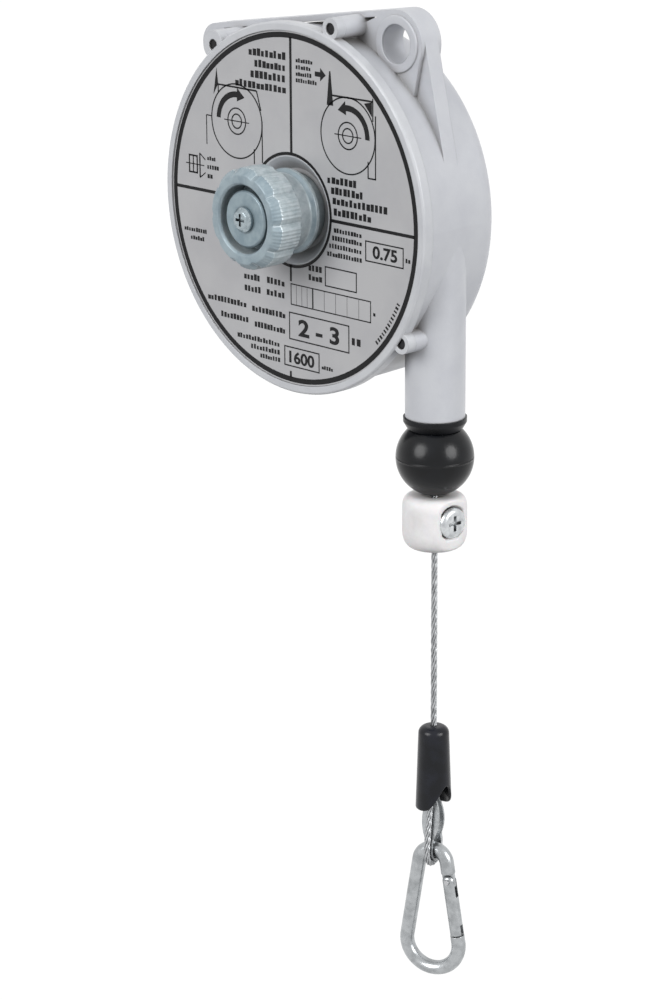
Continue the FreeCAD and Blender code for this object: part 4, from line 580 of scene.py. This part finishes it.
# Corners of its half section: radius, distance to the front, softness and share of the grips.
profile = soften([
    (POLE, 10.3, 0, 0), (12.0, 10.3, 0.3, 0), (12.0, 18.0, 0.2, 0), (14.3, 18.0, 0.2, 0),
    (14.3, 19.3, 0.4, 0), (12.9, 20.6, 0.8, 0), (12.6, 27.5, 0.3, 0), (15.6, 27.5, 0.3, 0),
    (16.9, 28.5, 0.4, 1), (17.0, 33.0, 0.5, 1), (17.0, 37.0, 0.35, 1), (14.9, 39.5, 0.35, 0.5),
    (12.1, 39.5, 0.25, 0), (11.4, 38.8, 0.25, 0), (11.4, 31.5, 0.3, 0),
    (8.2, 31.5, 0.3, 0), (8.2, 22.0, 0.2, 0), (POLE, 22.0, 0, 0)])
turn = np.linspace(0, 2 * np.pi, 480, endpoint=False)
# The grips are narrow valleys in the radius: a raised cosine to a power. The ribs are a wave.
grip = GRIP_DEPTH * ((1 + np.cos(GRIPS * turn)) / 2) ** GRIP_SHARPNESS
ribs = RIB_HALF_DEPTH * (1 + np.cos(RIBS * turn))
radius = profile[:, :1] - profile[:, 2:] * (grip + ribs)[None]
knob = skin("knob_casting", turned(radius, profile[:, 1:2], turn, DRUM_X, DRUM_Z), chromate,
            "knob", crease=50)
# Painted light: what looks sideways, the grips and the neck, gets a paler copy of the chromate, so
# that it looks more lit than what looks to the front; its corners get painted shade.
SIDEWAYS = 0.45
sides_painted_lighter = surface("chromate_zinc_sides_painted_lighter", ("c3cdd1", "a9b6bb", 3), (0.8, 0.03), (0.34, 0.5),
                 painted_shade=("4a5357", 3, 0.7), Metallic=0.3)
knob.data.materials.append(sides_painted_lighter)
facing = np.empty(len(knob.data.polygons) * 3)
knob.data.polygons.foreach_get("normal", facing)
# The paler copy goes where faces look sideways: painted light.
knob.data.polygons.foreach_set("material_index",
                               (np.abs(facing[1::3]) < SIDEWAYS).astype(np.int32))
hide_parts("tension_knob")

# Turned disc that holds the knob's spring, with the same chromate, a little darker than the knob and
# with painted shade in its corners. Its grain of 0.2 mm is drawn at 0.7 mm.
disc_zinc = surface("chromate_disc", ("93a3aa", "80919a", 4), (0.7, 0.02, 0.5), (0.3, 0.45),
                    painted_shade=("2c3335", 2.5, 0.8), Metallic=0.4)
dress(disc_zinc, "knob_retainer")

# Cross-head screw that holds the disc. Its zinc plate is a blurred mirror, bluish and darker than
# the bright zinc plate, with painted shade in its recesses. The grain of 0.1 mm is drawn at 0.5 mm.
dark_zinc = surface("dull_zinc_plate", ("a9b4b9", "8d999f", 1.2), (0.5, 0.015, 0.35),
                    (0.18, 0.3), painted_shade=("2e3335", 1.2, 0.9), Metallic=0.85)
dress(dark_zinc, "knob_screw")

# ---------------------------------------------------------------- inside the housing
# Ratchet, shaft, bushes, drum and springs, all stacked on the shaft: phosphated and turned steel,
# sintered bronze, a turned aluminium casting and blued spring steel with an oil film.

# Phosphated steel: matt dark grey. Its crystals, 0.05 mm wide, are drawn at 0.4 mm.
phosphate = surface("phosphated_steel", ("4c4d4f", "39393b", 2), (0.4, 0.012, 0.2), (0.45, 0.6),
                    Metallic=0.6)
dress(phosphate, "ratchet_ring", "drum_cover")
dress(black_oxide, "drum_cover_screws")

# Turned steel: a pale mirror, blurred by tool marks 0.1 mm apart, which are drawn at 0.35 mm.
turned_steel = surface("turned_steel", ("bcbdbf", "9c9da0", 3), (0.35, 0.01, 0.2), (0.22, 0.36),
                       Metallic=1.0)
dress(turned_steel, "arbor_shaft", "front_washer", "rear_washer")

# Blued strip: dark blue-grey with an oily shine. The rolled grain of 0.1 mm is drawn at 0.5 mm.
blued = surface("blued_spring_steel", ("545b66", "3d424b", 4), (0.5, 0.008), (0.28, 0.42),
                Metallic=0.9)
dress(blued, "power_spring")

# The knob's spring is a helix of 1.2 mm wire between the disc and the knob's seat: its middle line
# climbs evenly with the turn, and the wire's ring stands square to it.
COIL_RADIUS, WIRE, COIL_TURNS = 6.9, 0.6, 5
SEAT, DISC, PULL = 22.2, 36.1, 4.0         # in front of the middle plane, and the knob's travel
turn = np.linspace(0, 2 * np.pi * COIL_TURNS, COIL_TURNS * 40 + 1)
climb = (DISC - SEAT - 2 * WIRE) / turn[-1]
middle = turned(COIL_RADIUS, SEAT + WIRE + climb * turn, turn)
along = np.stack([-COIL_RADIUS * np.sin(turn), 0 * turn - climb, COIL_RADIUS * np.cos(turn)], -1)
along /= np.linalg.norm(along, axis=1, keepdims=True)
outward = turned(1.0, 0.0, turn)
ring = np.linspace(0, 2 * np.pi, 10, endpoint=False)[:, None]
wire = middle[:, None] + WIRE * (np.cos(ring) * outward[:, None]
                                 + np.sin(ring) * np.cross(along, outward)[:, None])
coil = skin("knob_coil", wire + (DRUM_X, 0, DRUM_Z), blued, "arbor")
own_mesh(coil)
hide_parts("knob_spring")

# Turned aluminium: white metal with a soft shine. Tool marks 0.2 mm apart are drawn at 0.6 mm.
drum_metal = surface("turned_aluminium_casting", ("cfd0d1", "b7b8ba", 6), (0.6, 0.02, 0.3),
                     (0.36, 0.5), Metallic=0.85)
dress(drum_metal, "cable_drum")

# Sintered bronze: brown gold, dulled by pores of 0.05 mm, which are drawn at 0.3 mm.
bronze = surface("sintered_bronze", ("a9814f", "8a6638", 1.2), (0.3, 0.02, 0.15), (0.4, 0.55),
                 Metallic=0.9)
dress(bronze, "front_drum_bush", "rear_drum_bush", "arbor_bush")

# The crimp that anchors the rope in the drum. New zinc plate is a bright, blurred mirror, with
# painted shade in its recesses; its grain of 0.1 mm is drawn at 0.5 mm.
zinc_plate = surface("bright_zinc_plate", ("d3d6d8", "b4b7ba", 1.6), (0.5, 0.015, 0.35),
                     (0.2, 0.34), painted_shade=("2e2f30", 1.2, 0.9), Metallic=0.9)
dress(zinc_plate, "drum_ferrule")

# The rope's turns on the drum: the CAD ring, banded by one groove for each turn of 2.2 mm.
WAVE_PERIOD = 2 * math.pi / 20             # width of one band of the wave texture at a scale of 1
wound_steel = new_material("wound_wire_rope")
colour, cloud = two_tone(wound_steel, "9fa1a3", "77797b", 1.5)
place = add_node(wound_steel, "ShaderNodeTexCoord")
turns = add_node(wound_steel, "ShaderNodeTexWave", {"Vector": place.outputs["Object"]},
                 {"Scale": WAVE_PERIOD / (2 * ROPE_RADIUS * MM)},
                 wave_type="BANDS", bands_direction="Y")
relief = add_node(wound_steel, "ShaderNodeBump", {"Height": turns.outputs["Fac"]},
                  {"Distance": 0.4 * MM})
finish(wound_steel, colour, relief.outputs["Normal"], cloud, (0.35, 0.5), Metallic=0.85)
dress(wound_steel, "wound_cable")

# ---------------------------------------------------------------- outlet guide
# Black acetal collar pressed into the tube. Acetal is near-black with a soft shine; its turning
# marks, 0.1 mm apart, are drawn at 0.5 mm.
acetal = surface("black_acetal", ("0e0f12", "17181c", 5), (0.5, 0.01, 0.4), (0.24, 0.34),
                 Specular_IOR_Level=0.2)
dress(acetal, "outlet_guide")

# ---------------------------------------------------------------- rubber ball
# Moulded black rubber with a mould line round its middle, threaded on the rope. Handling makes it
# shiny; the mould's grain, 0.2 mm wide, is drawn at 0.8 mm.
BALL_DROP, SEAM_WIDTH, SEAM_HEIGHT = 78.5, 0.5, 0.25
rubber = new_material("black_moulded_rubber")
colour, cloud = two_tone(rubber, "08090c", "101216", 7)
# The mould line is a ridge in the relief, level with the ball's middle.
place = add_node(rubber, "ShaderNodeTexCoord")
height = add_node(rubber, "ShaderNodeSeparateXYZ", {"Vector": place.outputs["Object"]})
above = add_node(rubber, "ShaderNodeMath", {0: height.outputs["Z"]},
                 {1: (BALL_DROP - DRUM_Z) * MM}, operation="ADD")
apart = add_node(rubber, "ShaderNodeMath", {0: above.outputs[0]}, operation="ABSOLUTE")
ridge = add_node(rubber, "ShaderNodeMapRange", {"Value": apart.outputs[0]},
                 {"From Min": 0.0, "From Max": SEAM_WIDTH * MM, "To Min": 1.0, "To Max": 0.0},
                 interpolation_type="SMOOTHSTEP")
seam = add_node(rubber, "ShaderNodeBump",
                {"Height": ridge.outputs["Result"], "Normal": bumps(rubber, 0.8, 0.025, 0.3)},
                {"Distance": SEAM_HEIGHT * MM, "Strength": 1.0})
finish(rubber, colour, seam.outputs["Normal"], cloud, (0.18, 0.28), Specular_IOR_Level=0.27)
dress(rubber, "bumper_ball")

# ---------------------------------------------------------------- stop clamp
# White moulded nylon, rounded like a worn bar of soap, with a shallow seat for the ball, one flat
# for the screw and a pocket that takes its head. Nylon is a warm white that light enters a little;
# the mould's grain, 0.2 mm wide, is drawn at 0.9 mm.
# Shade in the clamp's corners is painted into the nylon's colour.
nylon = surface("white_nylon", ("efeeef", "e6e4e5", 6), (0.9, 0.02), (0.4, 0.52),
                painted_shade=("8f8b88", 2.5, 0.6), Subsurface_Weight=0.08, Subsurface_Scale=0.002)
CLAMP_TURN = math.radians(-6.0)            # of the screw's side, about the rope
FLAT, FLAT_SOFTNESS = 9.2, 0.22
POCKET, POCKET_FLOOR, POCKET_EDGE, SCREW_DROP = 5.7, 7.95, 0.5, 99.4
# Half section as (radius, height from the drum axis, softness, unused share).
profile = soften([
    (1.2, -92.8, 0, 0), (4.4, -91.5, 0.6, 0), (10.9, -91.5, 4.4, 0), (10.9, -109.9, 6.4, 0),
    (1.2, -109.9, 0, 0)], steps=14)
# More rows on the first step of the lower corner, where the pocket's edge turns under. The wall
# above it has none, so the pocket's edge runs straight there.
CORNER = 29
rows = np.linspace(0, 1, 40)[1:-1, None]
added = profile[CORNER] + (profile[CORNER + 1] - profile[CORNER]) * rows
profile = np.concatenate([profile[:CORNER + 1], added, profile[CORNER + 1:]])
turn = np.linspace(-np.pi, np.pi, 240, endpoint=False)
x = profile[:, :1] * np.cos(turn)
y = profile[:, :1] * np.sin(turn)
z = np.broadcast_to(profile[:, 1:2], x.shape)
# The flat is a soft limit of x; the pocket pushes the flat in where it is near the screw.
x = x - FLAT_SOFTNESS * np.log1p(np.exp(np.clip((x - FLAT) / FLAT_SOFTNESS, -40, 40)))
near = np.clip((POCKET + POCKET_EDGE / 2 - np.hypot(y, z + SCREW_DROP)) / POCKET_EDGE, 0, 1)
x = np.where(x > POCKET_FLOOR - 0.05, x - (x - POCKET_FLOOR) * near, x)
clamp = skin("clamp_block", np.stack([
    ROPE_X + x * math.cos(CLAMP_TURN) - y * math.sin(CLAMP_TURN),
    x * math.sin(CLAMP_TURN) + y * math.cos(CLAMP_TURN), DRUM_Z + z], -1), nylon, "cable_end",
    ring=True, crease=60)
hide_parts("stop_clamp")
dress(zinc_plate, "clamp_screw")
dress(bronze, "clamp_insert")

# ---------------------------------------------------------------- sleeve
# Black PVC sleeve pulled over the crimp: a round shoulder, a wall that widens downwards and a level
# mouth with one notch, which bares the top of the rope's eye.
SLEEVE_TOP, SHOULDER, SLEEVE_FOOT, SLEEVE_BORE, BORE_END = -174.0, 2.7, -204.0, 1.2, -192.2
SHOULDER_RADIUS, FLARE = 5.3, 0.85
LIP_RADIUS, LIP_HALF, LIP_RISE = 5.7, 0.45, 0.5
MOUTH_RADIUS, MOUTH_TAPER = 5.25, 0.5
NOTCH, NOTCH_AT, NOTCH_HALF = 9.0, math.radians(2.0), math.radians(44)
# PVC: deep black with a wet shine. Ripples of its skin, 0.3 mm wide, are drawn at 1 mm.
pvc = surface("black_pvc", ("0d0f14", "181a22", 6), (1.0, 0.03), (0.2, 0.3),
              Specular_IOR_Level=0.28)
turn = np.linspace(0, 2 * np.pi, 180, endpoint=False)
# The notch's edge follows a bell curve of the angle.
off = (turn - NOTCH_AT + np.pi) % (2 * np.pi) - np.pi
mouth = SLEEVE_FOOT + NOTCH * np.exp(-(off / NOTCH_HALF) ** 2)
# The section, as rows of radius and of height: top, quarter-ellipse shoulder, wall, half-round lip,
# taper inside and the end of the bore.
rounding = np.linspace(0, np.pi / 2, 9)[:, None]
fall = np.linspace(0, 1, 30)[1:, None]
curl = np.linspace(0, np.pi, 7)[1:, None]
inward = np.array([[0.3], [0.65], [1.0]])
section = [
    (SLEEVE_BORE, SLEEVE_TOP),
    (SHOULDER_RADIUS - SHOULDER * (1 - np.sin(rounding)),
     SLEEVE_TOP - SHOULDER * (1 - np.cos(rounding))),
    (SHOULDER_RADIUS + FLARE * fall,
     (SLEEVE_TOP - SHOULDER) * (1 - fall) + (mouth + LIP_RISE) * fall),
    (LIP_RADIUS + LIP_HALF * np.cos(curl), mouth + LIP_RISE - LIP_HALF * np.sin(curl)),
    (MOUTH_RADIUS - MOUTH_TAPER * inward,
     (mouth + LIP_RISE) * (1 - inward) + BORE_END * inward),
    (SLEEVE_BORE, BORE_END)]
radius, z = np.concatenate([np.stack(np.broadcast_arrays(*pair, turn[None])[:2])
                            for pair in section], 1)
sleeve = skin("sleeve_pvc", np.stack([ROPE_X + radius * np.cos(turn), radius * np.sin(turn),
                                      DRUM_Z + z], -1), pvc, "cable_end", ring=True, crease=60)
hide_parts("ferrule_sleeve")
dress(zinc_plate, "cable_ferrule")

# ---------------------------------------------------------------- rope eye and thimble
# The rope turns back in a drop-shaped eye round a zinc-plated sheet thimble. Two straight legs run
# tangent into a round bend; the thimble is the CAD strip.
EYE_TURN = math.radians(20.0)              # of the loop's plane, from the line front to back
BEND, BEND_Z, LEG_HALF, EYE_TOP = 5.46, -219.15, 1.3, -192.3
reach = math.hypot(LEG_HALF, EYE_TOP - BEND_Z)
touch = math.atan2(LEG_HALF, EYE_TOP - BEND_Z) + math.acos(BEND / reach)
bend = np.linspace(touch, 2 * np.pi - touch, 60)
round_part = np.column_stack([BEND * np.sin(bend), BEND_Z + BEND * np.cos(bend)])
leg = np.linspace(0, 1, 40, endpoint=False)[:, None]
top = np.array([LEG_HALF, EYE_TOP])
first_leg = top + (round_part[0] - top) * leg
last_leg = (first_leg * (-1, 1))[::-1]
loop = np.concatenate([first_leg, round_part, last_leg])
across = np.array([math.cos(EYE_TURN), math.sin(EYE_TURN), 0])
sideways = np.array([-math.sin(EYE_TURN), math.cos(EYE_TURN), 0])
loop_path = (np.array([ROPE_X, 0, DRUM_Z]) + loop[:, :1] * sideways
             + loop[:, 1:] * np.array([0, 0, 1]))
rope_eye = skin("rope_eye", laid_strands(loop_path, across), rope_steel, "cable_end")
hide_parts("cable_eye")

# Barrel-plated zinc gives a cloudy shine, with painted shade where parts meet; its ripples, 0.4 mm
# wide, are drawn at 1.2 mm.
hook_zinc = surface("barrel_zinc", ("b4b7b9", "9b9ea0", 3), (1.2, 0.05, 0.3), (0.2, 0.32),
                    painted_shade=("4a4a4b", 2.0, 0.6), Metallic=0.85)
dress(hook_zinc, "thimble")

# ---------------------------------------------------------------- snap hook
# Bent steel wire, hung in the thimble, with a sprung gate on a rivet. Wire and gate have the same
# barrel-plated zinc, the rivet is turned steel and the gate's leaf spring is blued.
dress(hook_zinc, "hook_body", "hook_gate")
dress(turned_steel, "gate_rivet")
dress(blued, "gate_spring")

# ---------------------------------------------------------------- floor, light and background
# Plain pale floor far below the hanging balancer, two soft lamps of nearly equal power at the front
# and the right, and a white background. Floor and world look paler than the light they give.
FLOOR_DEPTH, FLOOR_HALF, FLOOR_GLOW = 2.1, 60, 0.84
WORLD_LIGHT = 0.45
LAMP_SPREAD = math.radians(34)
WHITE = (1, 1, 1, 1)


def seen(holder):
    """1 for rays from the camera, off gloss and through glass, and 0 for those that light things."""
    rays = add_node(holder, "ShaderNodeLightPath")
    direct = add_node(holder, "ShaderNodeMath", {0: rays.outputs["Is Camera Ray"],
                                                 1: rays.outputs["Is Glossy Ray"]},
                      operation="MAXIMUM")
    either = add_node(holder, "ShaderNodeMath", {0: direct.outputs[0],
                                                 1: rays.outputs["Is Transmission Ray"]},
                      operation="MAXIMUM")
    return either.outputs[0]


floor_paint = new_material("studio_floor")
cloud = add_node(floor_paint, "ShaderNodeTexNoise", values={"Scale": 2.0})
tone = add_node(floor_paint, "ShaderNodeMapRange", {"Value": cloud.outputs["Fac"]},
                {"To Min": 0.21, "To Max": 0.22})
plain = add_node(floor_paint, "ShaderNodeBsdfDiffuse", {"Color": tone.outputs["Result"]})
lift = add_node(floor_paint, "ShaderNodeMath", {0: seen(floor_paint)}, {1: FLOOR_GLOW},
                operation="MULTIPLY")
glow = add_node(floor_paint, "ShaderNodeEmission", {"Strength": lift.outputs[0]},
                {"Color": WHITE})
both = add_node(floor_paint, "ShaderNodeAddShader", {0: plain.outputs[0], 1: glow.outputs[0]})
add_node(floor_paint, "ShaderNodeOutputMaterial", {"Surface": both.outputs[0]})
floor_mesh = bpy.data.meshes.new("studio_floor")
floor_mesh.from_pydata([(x * FLOOR_HALF, y * FLOOR_HALF, -FLOOR_DEPTH)
                        for x, y in ((-1, -1), (1, -1), (1, 1), (-1, 1))], [], [(0, 1, 2, 3)])
floor_mesh.materials.append(floor_paint)
floor = bpy.data.objects.new("studio_floor", floor_mesh)
scene.collection.objects.link(floor)

world = bpy.data.worlds.new("studio")
scene.world = world
world.use_nodes = True
world.node_tree.nodes.clear()
soft = add_node(world, "ShaderNodeBackground", values={"Color": WHITE, "Strength": WORLD_LIGHT})
white = add_node(world, "ShaderNodeBackground", values={"Color": WHITE, "Strength": 1.0})
both = add_node(world, "ShaderNodeMixShader", {0: seen(world), 1: soft.outputs[0],
                                               2: white.outputs[0]})
add_node(world, "ShaderNodeOutputWorld", {"Surface": both.outputs[0]})

# Each lamp as its name, tilt and swing in degrees, and power.
for name, tilt, swing, power in (("key", 64, -6, 1.8), ("fill", 68, 98, 1.9)):
    lamp = bpy.data.lights.new(name, "SUN")
    lamp.energy = power
    lamp.angle = LAMP_SPREAD
    holder = bpy.data.objects.new(name, lamp)
    holder.rotation_euler = (math.radians(tilt), 0, math.radians(swing))
    scene.collection.objects.link(holder)
